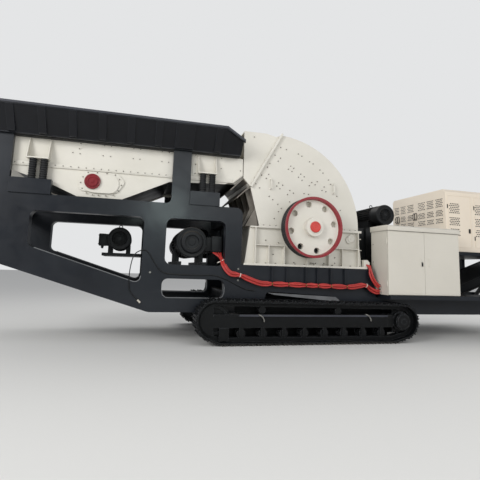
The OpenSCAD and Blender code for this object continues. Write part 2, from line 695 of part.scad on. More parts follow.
// Vibrating feeder
feeder_x = [-7000, -2150];
feeder_cut = [180, 150];                  // slanting corner over the crusher's lip
grate_x = [-3900, -2295];
skirt_corners = [[-6500, feeder_flange_z], [-6350, 2990], [-5700, 2790], [-5260, 2600],
  [-4460, 2600], [-3600, 3010], [-2500, 3060], [-2430, feeder_flange_z]];
side_corners = [[feeder_x[0], feeder_flange_z], [feeder_x[1] - feeder_cut[0], feeder_flange_z],
  [feeder_x[1], feeder_flange_z + feeder_cut[1]], [feeder_x[1], feeder_top_z],
  [feeder_x[0], feeder_top_z]];
exciter_corners = [[-5220, 2690, 90], [-4560, 2690, 90], [-4420, 2900, 90], [-4560, 3060, 60],
  [-5160, 3060, 60], [-5260, 2900, 90]];
module feeder_trough() {
  deck = feeder_flange_z + 40;
  wall = 16;
  inner = feeder_y - wall;
  color(cream) {
    for (side = [0, 1]) mirror([0, side, 0]) {
      across(-feeder_y, -inner) polygon(side_corners);
      box([feeder_x[0], -feeder_y - 14, feeder_flange_z - wall],
          [feeder_x[1] - feeder_cut[0], -feeder_y + 60, feeder_flange_z]);
      across(-inner - 6, 10 - inner) polygon([for (i = [len(skirt_corners) - 1:-1:0])
        skirt_corners[i] - [0, wall]]);
    }
    box([feeder_x[0], -inner, deck - 20], [grate_x[0], inner, deck]);
    box([feeder_x[0], -inner, deck], [feeder_x[0] + wall, inner, feeder_top_z]);
    for (i = [-5:5]) let (y = i * inner * 0.153)
      box([grate_x[0], y - 30, deck - 60], [grate_x[1], y + 30, deck]);
    box([grate_x[0], -inner, deck - 100], [grate_x[0] + 40, inner, deck - 60]);
    for (pair = spring_x, side = [0, 1]) mirror([0, side, 0]) {
      box([pair[0] - 105, -spring_y - 80, spring_z[1]],
          [pair[1] + 75, -feeder_y, spring_z[1] + 20]);
      for (x = [pair[0] - 105, pair[1] + 59]) lengthways(x, x + wall)
        polygon([[-spring_y - 80, spring_z[1] + 20], [-feeder_y, spring_z[1] + 20],
                 [-feeder_y, feeder_top_z - 15], [-feeder_y - 35, feeder_top_z - 15]]);
    }
    for (side = [0, 1]) mirror([0, side, 0]) across(-feeder_y - 14, -feeder_y + 11)
      polygon(outline(exciter_corners));
  }
}
exciter_c = [-4990, 2850];
module feeder_exciter() {
  color(cream) {
    across(-feeder_y + 26, feeder_y - 26)
      polygon(outline(exciter_corners, 50));
  }
}
module exciter_caps() {
  color(red) for (side = [0, 1]) mirror([0, side, 0]) {
    shaft_y(exciter_c[0], exciter_c[1], 160, -feeder_y - 70, -feeder_y - 14);
    shaft_y(exciter_c[0], exciter_c[1], 90, -feeder_y - 90, -feeder_y - 70);
  }
}
spring_x = [[-2968, -2784], [-6010, -5826]];
spring_y = feeder_y + 85;
spring_r = 65;
spring_z = [2825, 3190];
seat_x = [[post_x[1], spring_x[0][1] + 155], [rear_post_x[1], spring_x[1][1] + 155]];
module rubber_spring(x, y) {
  n = 9;
  h = (spring_z[1] - spring_z[0]) / n;
  translate([x, y, spring_z[0]]) rotate_extrude($fn = 40)
    polygon(concat([[0, 0]], [for (i = [0:n - 1]) each
      [[spring_r - 14, i * h + 1], [spring_r, (i + 0.3) * h], [spring_r, (i + 0.7) * h],
       [spring_r - 14, (i + 1) * h - 1]]], [[0, n * h]]));
}
module feeder_springs() {
  color("#151517") for (pair = spring_x, x = pair, side = [-1, 1])
    rubber_spring(x, side * spring_y);
}
module spring_seats() {
  color(steel_blue) for (x = seat_x, side = [0, 1]) mirror([0, side, 0])
    box([x[0], -spring_y - spring_r, feeder_beam_z], [x[1], -feeder_y - 20, spring_z[0]]);
}

// Feed hopper
hopper_x = [-hopper_reach, -2240];
hopper_z = [post_top_z, post_top_z + 15]; // bottom flange of the walls
hopper_top_z = post_top_z + hopper_h;
hopper_cut = [350, 225];                  // slanting corner at the crusher end
hopper_low_y = 1110;
hopper_t = 12;
rim_h = 60;
hopper_side = [[hopper_x[0], hopper_z[0]], [hopper_x[1], hopper_z[0]],
  [hopper_x[1], hopper_top_z - hopper_cut[1]], [hopper_x[1] - hopper_cut[0], hopper_top_z],
  [hopper_x[0], hopper_top_z]];
rib_start = -3868;
rib_half = 62;
hopper_ribs = concat([[-2735 - rib_half, -2735 + rib_half], post_x],
  [for (x = [rib_start:-hopper_rib_pitch:hopper_x[0] + 150]) [x - rib_half, x + rib_half]]);
wall_top = [hopper_rim_y - 15, hopper_top_z - rim_h];
module hopper_wall_side() {
  color(steel_black) intersection() {
    across(-hopper_rim_y, 0) polygon(hopper_side);
    union() {
      box([hopper_x[0], -hopper_low_y, hopper_z[0]], [hopper_x[1], -frame_y + 30, hopper_z[1]]);
      lengthways(hopper_x[0], hopper_x[1]) polygon([[-hopper_low_y, hopper_z[1] - 1],
        [-hopper_low_y + hopper_t, hopper_z[1] - 1], [-wall_top[0] + hopper_t, wall_top[1]],
        [-wall_top[0], wall_top[1]]]);
      box([hopper_x[0], -hopper_rim_y, wall_top[1]], [hopper_x[1], -hopper_rim_y + 50, hopper_top_z]);
      across(-hopper_rim_y, -hopper_rim_y + 50)
        polygon([[hopper_x[1] - hopper_cut[0] - 20, wall_top[1]],
                 [hopper_x[1], wall_top[1] - hopper_cut[1]],
                 [hopper_x[1], hopper_top_z], [hopper_x[1] - hopper_cut[0] - 20, hopper_top_z]]);
      for (x = hopper_ribs)
        lengthways(x[0], x[1]) polygon([[-hopper_low_y, hopper_z[1]],
          [-wall_top[0], wall_top[1]], [-hopper_rim_y, wall_top[1]],
          [-hopper_low_y - 70, hopper_z[1] + 20], [-hopper_low_y - 60, hopper_z[1]]]);
    }
  }
}
module hopper_wall_rear() {
  color(steel_black) {
    lengthways(hopper_x[0], hopper_x[0] + hopper_t) polygon([[-hopper_low_y + hopper_t, hopper_z[1]],
      [hopper_low_y - hopper_t, hopper_z[1]], [wall_top[0] - hopper_t, wall_top[1]],
      [hopper_t - wall_top[0], wall_top[1]]]);
    box([hopper_x[0], -hopper_rim_y + 50, wall_top[1]],
        [hopper_x[0] + 50, hopper_rim_y - 50, hopper_top_z]);
    box([hopper_x[0], -frame_y + 30, hopper_z[0]], [hopper_x[0] + 60, frame_y - 30, hopper_z[1]]);
  }
}

// Deck, cabinet and generator
deck_slot = [2450, 660];                  // start and half width of the belt's slot
module front_deck() {
  color(steel_black) difference() {
    box([crusher_deck_x[1] + 160, -track_half_width + 20, front_beam_z],
        [frame_front_x, track_half_width - 20, front_deck_z]);
    box([deck_slot[0], -deck_slot[1], front_beam_z - 1],
        [frame_front_x + 1, deck_slot[1], front_deck_z + 1]);
  }
}
cabinet_y = 50 - track_half_width;
door_t = 30;
door_gap = 6;
cabinet_mid = cabinet_x + cabinet_w / 2;
cabinet_right = cabinet_x + cabinet_w;
cabinet_z = [front_deck_z, front_deck_z + cabinet_h];
hinge_r = 9;
hinge_y = cabinet_y + door_t + 2;
hinge_z = [cabinet_z[0] + 200, cabinet_z[1] - 280];
hinge_h = 80;
module hinge_part(x, side, z, h, y) {
  translate([x, hinge_y, z]) cylinder(r = hinge_r, h = h, $fn = 32);
  box([side < 0 ? x - hinge_r / 2 : x - 16, y, z], [side < 0 ? x + 16 : x + hinge_r / 2, y + 4, z + h]);
}
module control_cabinet() {
  x = [cabinet_x, cabinet_right];
  z = cabinet_z;
  y = [cabinet_y + door_t + door_gap, cabinet_y + cabinet_d];
  color(cream) difference() {
    union() {
      box([x[0], y[0], z[0]], [x[1], y[1], z[1]]);
      box([x[0] - 15, cabinet_y - 10, z[1] - 20], [x[1] + 15, y[1] + 15, z[1] + 25]);
    }
    box([x[0] + 20, y[0] - 1, z[0] + 60], [x[1] - 20, y[1] - 20, z[1] - 60]);
  }
  color(cream) for (s = [[-1, x[0] - 11], [1, x[1] + 11]], z = hinge_z) {
    hinge_part(s[1], s[0], z - 25 - seat_gap, 25, hinge_y + 5);
    hinge_part(s[1], s[0], z + hinge_h + seat_gap, 25, hinge_y + 5);
  }
}
module cabinet_door(x0, x1, hinge_side) {
  hx = hinge_side < 0 ? cabinet_x - 11 : cabinet_right + 11;
  color(cream) {
    box([x0, cabinet_y, cabinet_z[0] + 12], [x1, cabinet_y + door_t, cabinet_z[1] - 26]);
    for (z = hinge_z) hinge_part(hx, hinge_side, z, hinge_h, hinge_y - 6);
    let (x = hinge_side < 0 ? x1 - 110 : x0 + 80, z = cabinet_z[0] + 600)
      box([x, cabinet_y - 8, z], [x + 30, cabinet_y, z + 160]);
  }
}
platform_z = [1840, 1920];
generator_z = [platform_z[1], generator_top_z - 60];
generator_x1 = generator_x + generator_l;
module generator_platform() {
  y = generator_y + 60;
  color(steel_black) {
    box([generator_x - 50, -y, platform_z[0]], [generator_x1 + 50, y, platform_z[1]]);
    for (side = [0, 1], x = [generator_x - 50, (generator_x + generator_x1) / 2 - 50,
         generator_x1 - 50]) mirror([0, side, 0])
      box([x, -y, front_deck_z], [x + 100, -y + 100, platform_z[0]]);
  }
}
module generator_enclosure() {
  t = 40;
  color(cream) difference() {
    box([generator_x, -generator_y, generator_z[0]], [generator_x1, generator_y, generator_z[1]]);
    box([generator_x + t, -generator_y + t, generator_z[0] - 1],
        [generator_x1 - t, generator_y - t, generator_z[1] + 1]);
  }
}
module generator_roof() {
  bevel = 60;
  color(cream) lengthways(generator_x, generator_x1) polygon([[-generator_y, generator_z[1]],
    [generator_y, generator_z[1]], [generator_y - bevel, generator_top_z],
    [bevel - generator_y, generator_top_z]]);
}

// Discharge belt
belt_r = 110;
belt_t = 12;
belt_z = 740;                             // centre line of the level part
tail = [-1850, belt_z];
bend = [2600, belt_z];
rise = tan(belt_slope);
head = [belt_head_x - belt_r, belt_z + (belt_head_x - belt_r - bend[0]) * rise];
belt_frame_y = 560;
belt_frame_t = 15;
// The line beside the belt path, shifted by d at right angles to it
function beside(d) = [tail + [0, d], bend + [-d * tan(belt_slope / 2), d],
  head + d * [-sin(belt_slope), cos(belt_slope)]];
belt_step = 7.5;                          // turn between two flats of the belt, in degrees
function belt_ring(r) = let (top = beside(r), low = beside(-r)) concat(
  [for (a = [0:belt_step:180]) on_circle(head, r, belt_slope - 90 + a)],
  [top[1]],
  [for (a = [0:belt_step:180]) on_circle(tail, r, 90 + a)],
  [low[1]]);
module conveyor_belt() {
  color("#1c1c1e") across(-belt_w / 2, belt_w / 2) difference() {
    polygon(belt_ring(belt_r));
    polygon(belt_ring(belt_r - belt_t));
  }
}
module conveyor_pulleys() {
  roller = 45;
  z = belt_r - belt_t - seat_gap;
  drum = (belt_r - belt_t) * cos(belt_step / 2) - seat_gap;
  color("#55585c") {
    for (c = [tail, head]) {
      shaft_y(c[0], c[1], drum, -belt_w / 2 - 20, belt_w / 2 + 20);
      shaft_y(c[0], c[1], 35, -belt_frame_y, belt_frame_y, 32);
    }
    for (i = [1:5]) let (x = tail[0] + i * (bend[0] - tail[0]) / 6)
      shaft_y(x, belt_z + z - roller, roller, -belt_frame_y, belt_frame_y, 32);
    for (i = [1:5]) let (d = i / 6, c = bend * (1 - d) + head * d,
        p = c + (z - roller) * [-sin(belt_slope), cos(belt_slope)])
      shaft_y(p[0], p[1], roller, -belt_frame_y, belt_frame_y, 32);
  }
}
module conveyor_frame() {
  top = beside(115);
  low = beside(-90);
  dir = [cos(belt_slope), sin(belt_slope)];
  strut_foot = [frame_front_x - 160, 800];
  strut_top = bend + dir * 3650;
  color(steel_black) {
    for (side = [0, 1]) mirror([0, side, 0]) {
      across(-belt_frame_y - belt_frame_t, -belt_frame_y)
        polygon([low[0] - [90, 0], low[1], low[2] + dir * 60, top[2] + dir * 60, top[1],
                 top[0] - [90, 0]]);
      across(-belt_frame_y - 60, -belt_frame_y - belt_frame_t)
        polygon([low[0] - [90, 0], low[1], low[2] + dir * 60, beside(-78)[2] + dir * 60,
                 beside(-78)[1], beside(-78)[0] - [90, 0]]);
      for (x = [tail[0] + 30, 330, 2000])
        box([x, -frame_y + frame_plate, belt_z - 60], [x + 60, -belt_frame_y - belt_frame_t, belt_z]);
      across(-belt_frame_y - 80, -belt_frame_y - belt_frame_t)
        polygon([strut_foot, strut_foot + [110, 0], strut_top + [70, -60], strut_top + [-40, -60]]);
      box([strut_foot[0] - 20, -frame_y + frame_plate, strut_foot[1] - 60],
          [strut_foot[0] + 130, -belt_frame_y - belt_frame_t, strut_foot[1]]);
    }
    for (x = [-1000, 600, 2000]) box([x, -belt_frame_y, belt_z - 30], [x + 80, belt_frame_y, belt_z + 20]);
    for (d = [900, 2300, 3700]) let (p = bend + dir * d) across(-belt_frame_y, belt_frame_y)
      polygon([p + [-40, -30], p + [40, -30], p + [40, 20], p + [-40, 20]]);
  }
}

// Motor cables
cable_r = 17;
cable_end_x = cabinet_x - cable_r - 0.2;
cable_run = [[-2640, -1000, 1700], [-2600, -1100, 1500], [-2420, -1120, 1290], [-2180, -1125, 1250],
  [-1810, -1125, 1120], [-1550, -1125, 1115], [-700, -1125, 1100], [30, -1125, 1090],
  [480, -1125, 1110], [700, -1125, 1020], [cable_end_x, -1125, 1000]];
cable_branch = [[640, -1060, 1500], [620, -1110, 1420], [700, -1125, 1240], [790, -1125, 1120],
  [cable_end_x, -1125, 1080]];
cable_offsets = [[0, 0], [-5, -38], [-36, -16]];
module cable(points, shift) {
  for (i = [0:len(points) - 2]) hull() for (p = [points[i], points[i + 1]])
    translate(p + shift) sphere(r = cable_r, $fn = 10);
}
module motor_cables() {
  color("#c33a34") {
    for (o = cable_offsets) cable(cable_run, [0, o[0], o[1]]);
    for (o = cable_offsets) cable(cable_branch, [0, o[0], o[1]]);
  }
}
module junction_box() {
  color("#b9b8b2") box([615, -1040, crusher_deck_z], [695, -900, crusher_deck_z + 110]);
}

frame_side();  // frame_side_near
far_side() frame_side();  // frame_side_far
frame_cross_members();
undercarriage_beams();
track_beam();  // track_beam_near
far_side() track_beam();  // track_beam_far
track_chain();  // track_chain_near
far_side() track_chain();  // track_chain_far
drive_sprocket();  // drive_sprocket_near
far_side() drive_sprocket();  // drive_sprocket_far
idler_wheel();  // idler_wheel_near
far_side() idler_wheel();  // idler_wheel_far
track_rollers();  // track_rollers_near
far_side() track_rollers();  // track_rollers_far
crusher_base();
crusher_hood();
crusher_inlet_hood();
crusher_front_wall();
outlet_chute();
bearing_housings();
rotor();
flywheel();
drive_pulley();
drive_belts();
belt_guard();
left_motor();
left_motor_base();
right_motor();
right_motor_stand();
feeder_motor();
feeder_motor_shelf();
feeder_trough();
feeder_exciter();
exciter_caps();
feeder_springs();
spring_seats();
hopper_wall_side();  // hopper_wall_near
far_side() hopper_wall_side();  // hopper_wall_far
hopper_wall_rear();
front_deck();
control_cabinet();
cabinet_door(cabinet_x + 2, cabinet_mid - door_gap / 2, -1);  // cabinet_door_left
cabinet_door(cabinet_mid + door_gap / 2, cabinet_right - 2, 1);  // cabinet_door_right
generator_platform();
generator_enclosure();
generator_roof();
conveyor_frame();
conveyor_belt();
conveyor_pulleys();
junction_box();
motor_cables();
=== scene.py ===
import math
import random
import bmesh
import bpy
from mathutils import Matrix, Vector


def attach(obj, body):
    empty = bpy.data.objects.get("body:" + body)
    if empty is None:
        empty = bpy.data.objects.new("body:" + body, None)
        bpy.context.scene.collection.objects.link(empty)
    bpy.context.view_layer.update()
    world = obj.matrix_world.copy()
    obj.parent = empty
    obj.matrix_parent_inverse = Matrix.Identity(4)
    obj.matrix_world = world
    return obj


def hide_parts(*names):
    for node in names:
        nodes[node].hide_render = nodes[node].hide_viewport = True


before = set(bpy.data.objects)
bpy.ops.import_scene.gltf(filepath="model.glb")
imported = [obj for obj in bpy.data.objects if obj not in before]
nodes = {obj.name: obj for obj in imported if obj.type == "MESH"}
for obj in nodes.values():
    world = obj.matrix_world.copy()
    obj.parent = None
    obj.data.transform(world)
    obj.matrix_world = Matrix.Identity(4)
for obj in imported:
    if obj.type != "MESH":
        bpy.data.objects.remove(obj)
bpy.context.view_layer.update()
random.seed(41)
print("frame loaded:", len(nodes), "nodes")

# Camera: a hand held phone at eye height, a little left of the machine and turned right
cameraSettings = {
    "place": (-4.15, -8.626, 1.38),
    "yaw": 14.38,            # degrees to the right of square on
    "pitch": 7.73,           # degrees up
    "roll": -1.90,           # degrees
    "lens": 30.0,            # mm on a 36 mm sensor
    "shiftY": -26 / 480,     # the picture's middle lies below the lens axis
}


def makeCamera(settings):
    yaw, pitch, roll = (math.radians(settings[k]) for k in ("yaw", "pitch", "roll"))
    ahead = Vector((math.sin(yaw) * math.cos(pitch), math.cos(yaw) * math.cos(pitch), math.sin(pitch)))
    level = Vector((math.cos(yaw), -math.sin(yaw), 0))
    upright = level.cross(ahead)
    right = level * math.cos(roll) - upright * math.sin(roll)
    up = level * math.sin(roll) + upright * math.cos(roll)
    data = bpy.data.cameras.new("camera")
    data.lens = settings["lens"]
    data.sensor_width = 36
    data.shift_y = settings["shiftY"]
    data.clip_end = 200
    camera = bpy.data.objects.new("camera", data)
    turn = Matrix((right, up, -ahead)).transposed()
    camera.matrix_world = Matrix.Translation(settings["place"]) @ turn.to_4x4()
    bpy.context.scene.collection.objects.link(camera)
    bpy.context.scene.camera = camera


makeCamera(cameraSettings)


# Materials

def linear(hexColour):
    # sRGB hex to the linear values that the shader works in
    parts = [int(hexColour[i:i + 2], 16) / 255 for i in (1, 3, 5)]
    return tuple([c / 12.92 if c <= 0.04045 else ((c + 0.055) / 1.055) ** 2.4 for c in parts] + [1.0])


def addNode(tree, kind, settings=None, links=None):
    # a node with its settings; links maps an input to another node's output
    node = tree.nodes.new("ShaderNode" + kind)
    for key, value in (settings or {}).items():
        if key in node.inputs:
            node.inputs[key].default_value = value
        else:
            setattr(node, key, value)
    for key, source in (links or {}).items():
        tree.links.new(source, node.inputs[key])
    return node


def startMaterial(name, settings, kind="BsdfPrincipled"):
    material = bpy.data.materials.new(name)
    material.use_nodes = True
    tree = material.node_tree
    tree.nodes.clear()
    shader = addNode(tree, kind, settings)
    addNode(tree, "OutputMaterial", links={"Surface": shader.outputs["BSDF"]})
    place = addNode(tree, "TexCoord").outputs["Object"]
    return material, tree, shader, place


def noise(tree, place, scale, detail, **more):
    settings = {"Scale": scale, "Detail": detail, **more}
    return addNode(tree, "TexNoise", settings, {"Vector": place}).outputs["Fac"]


def ranged(tree, value, fromLow, fromHigh, toLow, toHigh):
    settings = {"From Min": fromLow, "From Max": fromHigh, "To Min": toLow, "To Max": toHigh}
    return addNode(tree, "MapRange", settings, {"Value": value}).outputs["Result"]


def times(tree, first, second):
    settings = {"operation": "MULTIPLY", "use_clamp": True}
    return addNode(tree, "Math", settings, {0: first, 1: second}).outputs["Value"]


def part(tree, vector, axis):
    return addNode(tree, "SeparateXYZ", links={"Vector": vector}).outputs[axis]


def twoTone(tree, pattern, low, high, look):
    # from the shade to the colour between two values of a pattern
    node = addNode(tree, "ValToRGB", links={"Fac": pattern})
    stops = ((low, look["shade"]), (high, look["colour"]))
    for element, (place, hexColour) in zip(node.color_ramp.elements, stops):
        element.position = place
        element.color = linear(hexColour)
    return node.outputs["Color"]


def tint(tree, share, tone, hexColour):
    # a tone with a share of another colour over it
    node = addNode(tree, "Mix", {"data_type": "RGBA"}, {0: share, 6: tone})
    node.inputs[7].default_value = linear(hexColour)
    return node.outputs[2]


def softNormal(tree, radius):
    return addNode(tree, "Bevel", {"samples": 4, "Radius": radius}).outputs["Normal"]


def rubEdges(tree, edge, face, low, high, look, tone):
    # a lighter line where the softened normal turns away from the face
    bend = addNode(tree, "VectorMath", {"operation": "DOT_PRODUCT"}, {0: edge, 1: face})
    rubbed = ranged(tree, bend.outputs["Value"], low, high, 0.0, look["rub"])
    return tint(tree, rubbed, tone, look["edge"])


def addBump(tree, shader, height, strength, distance, links):
    bump = addNode(tree, "Bump", {"Strength": strength, "Distance": distance}, {"Height": height, **links})
    tree.links.new(bump.outputs["Normal"], shader.inputs["Normal"])


def ringMask(tree, place, ring):
    # 1 within a ring about the wheels' axis, between two radii and two distances across
    x, z = wheelCentre
    flat = addNode(tree, "Mapping", {"Location": (-x, 0, -z), "Scale": (1, 0, 1)}, {"Vector": place})
    radius = addNode(tree, "VectorMath", {"operation": "LENGTH"}, {0: flat.outputs["Vector"]})
    depth = addNode(tree, "Math", {"operation": "ABSOLUTE"}, {0: part(tree, place, "Y")})
    bands = []
    for value, (low, high) in ((radius, ring["radii"]), (depth, ring["depths"])):
        band = addNode(tree, "Math", {"operation": "COMPARE"}, {0: value.outputs["Value"]})
        band.inputs[1].default_value = (low + high) / 2
        band.inputs[2].default_value = (high - low) / 2
        bands.append(band.outputs["Value"])
    return times(tree, *bands)


def sprayedPaint(name, look):
    # Two-pack enamel sprayed on steel plate: even colour with faint clouds, orange peel in the
    # gloss, settled dust on what faces up, and a lighter line where edges are rubbed
    material, tree, shader, place = startMaterial(name, {
        "IOR": 1.5, "Specular IOR Level": look["shine"], "Coat Weight": look["coat"],
        "Coat Roughness": 0.12})
    clouds = noise(tree, place, 1000 / look["cloudMm"], 4.0, Roughness=0.6)
    edge = softNormal(tree, look["edgeMm"] / 1000)
    face = addNode(tree, "NewGeometry").outputs["Normal"]
    tone = rubEdges(tree, edge, face, 0.995, 0.93, look, twoTone(tree, clouds, 0.32, 0.68, look))
    settled = ranged(tree, part(tree, face, "Z"), 0.2, 1.0, 0.0, look["dust"])
    dust = times(tree, settled, noise(tree, place, 9.0, 8.0, Roughness=0.7))
    tone = tint(tree, dust, tone, "#8d867a")
    for ring in paintedRings.get(name, []):
        tone = tint(tree, ringMask(tree, place, ring), tone, ring["colour"])
    tree.links.new(tone, shader.inputs["Base Color"])
    smear = noise(tree, place, 3.2, 6.0, Distortion=0.8)
    gloss = ranged(tree, smear, 0.3, 0.75, look["roughness"], look["roughness"] + 0.16)
    tree.links.new(gloss, shader.inputs["Roughness"])
    peel = noise(tree, place, 1000 / look["peelMm"], 2.0)
    addBump(tree, shader, peel, look["peel"], 0.002, {"Normal": edge})
    return material


def barePlate(name, look):
    # Mill-finish or machined steel: metal with rolling streaks, bluish scale and handling marks
    material, tree, shader, place = startMaterial(name, {"Metallic": look["metallic"]})
    stretched = addNode(tree, "Mapping", {"Scale": look["grain"]}, {"Vector": place}).outputs["Vector"]
    streaks = noise(tree, stretched, 14.0, 8.0, Roughness=0.65)
    tree.links.new(twoTone(tree, streaks, 0.28, 0.72, look), shader.inputs["Base Color"])
    gloss = ranged(tree, streaks, 0.0, 1.0, look["roughness"], look["roughness"] + 0.2)
    tree.links.new(gloss, shader.inputs["Roughness"])
    addBump(tree, shader, streaks, 0.25, 0.002, {"Normal": softNormal(tree, 0.003)})
    return material


def castTrackSteel(name, look):
    # Heat-treated track steel painted black: pitted cast skin, paint gone from what meets the ground
    material, tree, shader, place = startMaterial(name, {
        "Roughness": look["roughness"], "Specular IOR Level": 0.3, "Metallic": 0.2})
    clouds = noise(tree, place, 7.0, 9.0, Roughness=0.68)
    low = ranged(tree, part(tree, place, "Z"), 0.04, 0.0, 0.0, 0.9)
    tone = tint(tree, times(tree, low, clouds), twoTone(tree, clouds, 0.35, 0.7, look), look["ground"])
    edge = softNormal(tree, 0.004)
    face = addNode(tree, "NewGeometry").outputs["Normal"]
    tone = rubEdges(tree, edge, face, 0.99, 0.85, look, tone)
    tree.links.new(tone, shader.inputs["Base Color"])
    pits = addNode(tree, "TexVoronoi", {"Scale": 1000 / look["pitMm"]}, {"Vector": place})
    addBump(tree, shader, pits.outputs["Distance"], 0.35, 0.003, {"Normal": edge})
    return material


def mouldedRubber(name, look):
    # Vulcanised rubber or nylon: matt, fine grain, faint bloom
    material, tree, shader, place = startMaterial(name, {"Roughness": look["roughness"]})
    tone = twoTone(tree, noise(tree, place, 5.0, 7.0), 0.35, 0.7, look)
    tree.links.new(tone, shader.inputs["Base Color"])
    addBump(tree, shader, noise(tree, place, 1000 / look["grainMm"], 3.0), 0.3, 0.001, {})
    return material


wheelCentre = (-0.78, 2.23)   # x, z of the rotor's axis
paintedRings = {   # metres; a red rim, and a black band behind it
    "wheelEnamel": [dict(radii=(0.5465, 0.7), depths=(1.352, 1.44), colour="#8a1d27"),
                    dict(radii=(0.575, 0.7), depths=(1.15, 1.383), colour="#141313")],
}
paintColumns = ("colour", "shade", "edge", "cloudMm", "edgeMm", "rub", "dust", "roughness", "peel",
                "peelMm", "coat", "shine")
paints = {
    # frame: slate enamel with a wet gloss
    "slateEnamel": ("#1f2329", "#171a20", "#3d4149", 900, 5, 0.6, 0.35, 0.30, 0.12, 14, 0.12, 0.30),
    # deck, brackets, guards: black enamel
    "blackEnamel": ("#121417", "#0d0f11", "#33363a", 700, 4, 0.5, 0.35, 0.36, 0.12, 14, 0.05, 0.25),
    # hopper: blue-black enamel
    "navyEnamel": ("#101218", "#0b0d12", "#444951", 800, 6, 0.7, 0.35, 0.34, 0.12, 14, 0.08, 0.28),
    # crusher and feeder: off-white enamel
    "creamEnamel": ("#dcd8cd", "#d3cfc3", "#efece4", 1100, 5, 0.6, 0.35, 0.38, 0.10, 16, 0.12, 0.5),
    # wheels: the same enamel, less dusty, with painted rings
    "wheelEnamel": ("#dcd8cd", "#d3cfc3", "#efece4", 1100, 5, 0.4, 0.2, 0.38, 0.10, 16, 0.12, 0.5),
    # cabinet: warm grey powder coat with a fine texture
    "greyPowderCoat": ("#d5d0c4", "#cec9bd", "#e6e2d8", 1300, 3, 0.5, 0.3, 0.45, 0.18, 7, 0.0, 0.5),
    # generator: cream powder coat
    "creamPowderCoat": ("#efe3d1", "#e8dbc8", "#f5ecdd", 1300, 3, 0.5, 0.3, 0.45, 0.18, 7, 0.0, 0.5),
    # exciter caps: deep red enamel
    "redEnamel": ("#861a24", "#70151e", "#ad3c42", 300, 3, 0.5, 0.2, 0.3, 0.1, 12, 0.2, 0.35),
    # shaft caps: bright red enamel
    "brightRedEnamel": ("#cf3a30", "#b92f29", "#de6a5c", 200, 3, 0.4, 0.1, 0.28, 0.1, 12, 0.3, 0.5),
    # hopper rim: the hopper's enamel, rubbed lighter by loading; on the track beams the same colour is a
    # painted sheen
    "rimAndSheenEnamel": ("#3b3d45", "#303239", "#585b63", 500, 6, 0.7, 0.35, 0.4, 0.12, 14, 0.05, 0.4),
    # track guards: grey enamel; on the window edges the same grey is a painted highlight
    "guardGreyAndHighlight": ("#6e7072", "#57595b", "#8b8d8f", 400, 4, 0.4, 0.3, 0.42, 0.1, 14, 0.0, 0.4),
    # motors: matt black enamel on cast iron
    "motorEnamel": ("#17191c", "#101214", "#3c4043", 300, 2, 0.6, 0.45, 0.42, 0.2, 9, 0.0, 0.3),
    # outlet chute: grey enamel, scratched by what slides over it; on the wall below the inlet the same grey
    # is painted shade
    "greyEnamelAndShade": ("#7d776e", "#686259", "#b9b3a9", 500, 4, 0.7, 0.3, 0.42, 0.1, 14, 0.0, 0.4),
}
metals = {   # pulleys, new and weathered fastenings, clip screws, rotor with mill scale
    "rolledSteel": dict(colour="#a19d97", shade="#6f6b66", grain=(1, 1, 0.15), roughness=0.38, metallic=0.8),
    "zincBolt": dict(colour="#b5b3ad", shade="#85837e", grain=(6, 6, 6), roughness=0.32, metallic=0.9),
    "weatheredBolt": dict(colour="#8f887c", shade="#5d574e", grain=(8, 8, 8), roughness=0.5, metallic=0.4),
    "brassScrew": dict(colour="#c39a56", shade="#8c6a38", grain=(8, 8, 8), roughness=0.35, metallic=0.8),
    "scaledSteel": dict(colour="#6d655d", shade="#3f3a36", grain=(1, 0.3, 1), roughness=0.55, metallic=0.6),
}
rubbers = {   # dark sheet behind the vents as painted shade, belts and sleeves, cable ties, cable sheath
    "ventShadeSheet": dict(colour="#232120", shade="#191817", grainMm=20, roughness=0.8),
    "beltRubber": dict(colour="#1d1e20", shade="#141516", grainMm=6, roughness=0.7),
    "paleNylon": dict(colour="#e2ddd2", shade="#cfc8ba", grainMm=5, roughness=0.5),
    "cableSheath": dict(colour="#c8413c", shade="#ad332f", grainMm=4, roughness=0.42),
}
trackLook = dict(colour="#0f1113", shade="#090a0b", edge="#707276", ground="#8c877e", pitMm=18, rub=0.85,
                 roughness=0.5)
finish = {name: sprayedPaint(name, dict(zip(paintColumns, row))) for name, row in paints.items()}
finish.update({name: barePlate(name, look) for name, look in metals.items()})
finish.update({name: mouldedRubber(name, look) for name, look in rubbers.items()})
finish["trackSteel"] = castTrackSteel("trackSteel", trackLook)
print("materials made:", len(finish))

nodeFinish = {
    "slateEnamel": "frame_side_near frame_side_far spring_seats front_deck generator_platform",
    "blackEnamel": "frame_cross_members undercarriage_beams belt_guard left_motor_base "
                   "right_motor_stand feeder_motor_shelf conveyor_frame",
    "navyEnamel": "hopper_wall_near hopper_wall_far hopper_wall_rear",
    "creamEnamel": "crusher_base crusher_hood crusher_inlet_hood bearing_housings feeder_trough "
                   "feeder_exciter junction_box",
    "wheelEnamel": "flywheel drive_pulley",
    "greyPowderCoat": "control_cabinet cabinet_door_left cabinet_door_right",
    "creamPowderCoat": "generator_enclosure generator_roof",
    "redEnamel": "exciter_caps",
    # the wall below the inlet takes the grey as painted shade
    "greyEnamelAndShade": "crusher_front_wall outlet_chute",
    "trackSteel": "track_beam_near track_beam_far track_chain_near track_chain_far "
                  "drive_sprocket_near drive_sprocket_far idler_wheel_near idler_wheel_far "
                  "track_rollers_near track_rollers_far",
    "scaledSteel": "rotor",
    "motorEnamel": "left_motor right_motor feeder_motor",
    "rolledSteel": "conveyor_pulleys",
    "beltRubber": "conveyor_belt drive_belts feeder_springs",
    "cableSheath": "motor_cables",
}
for finishName, names in nodeFinish.items():
    for name in names.split():
        slots = nodes[name].data.materials
        slots.clear()
        slots.append(finish[finishName])


# Shapes: small mesh tools that the pieces share

def circle(count, start=0.0, closed=False):
    # cosine and sine of evenly spaced angles
    angles = (start + 2 * math.pi * i / count for i in range(count + closed))
    return [(math.cos(a), math.sin(a)) for a in angles]


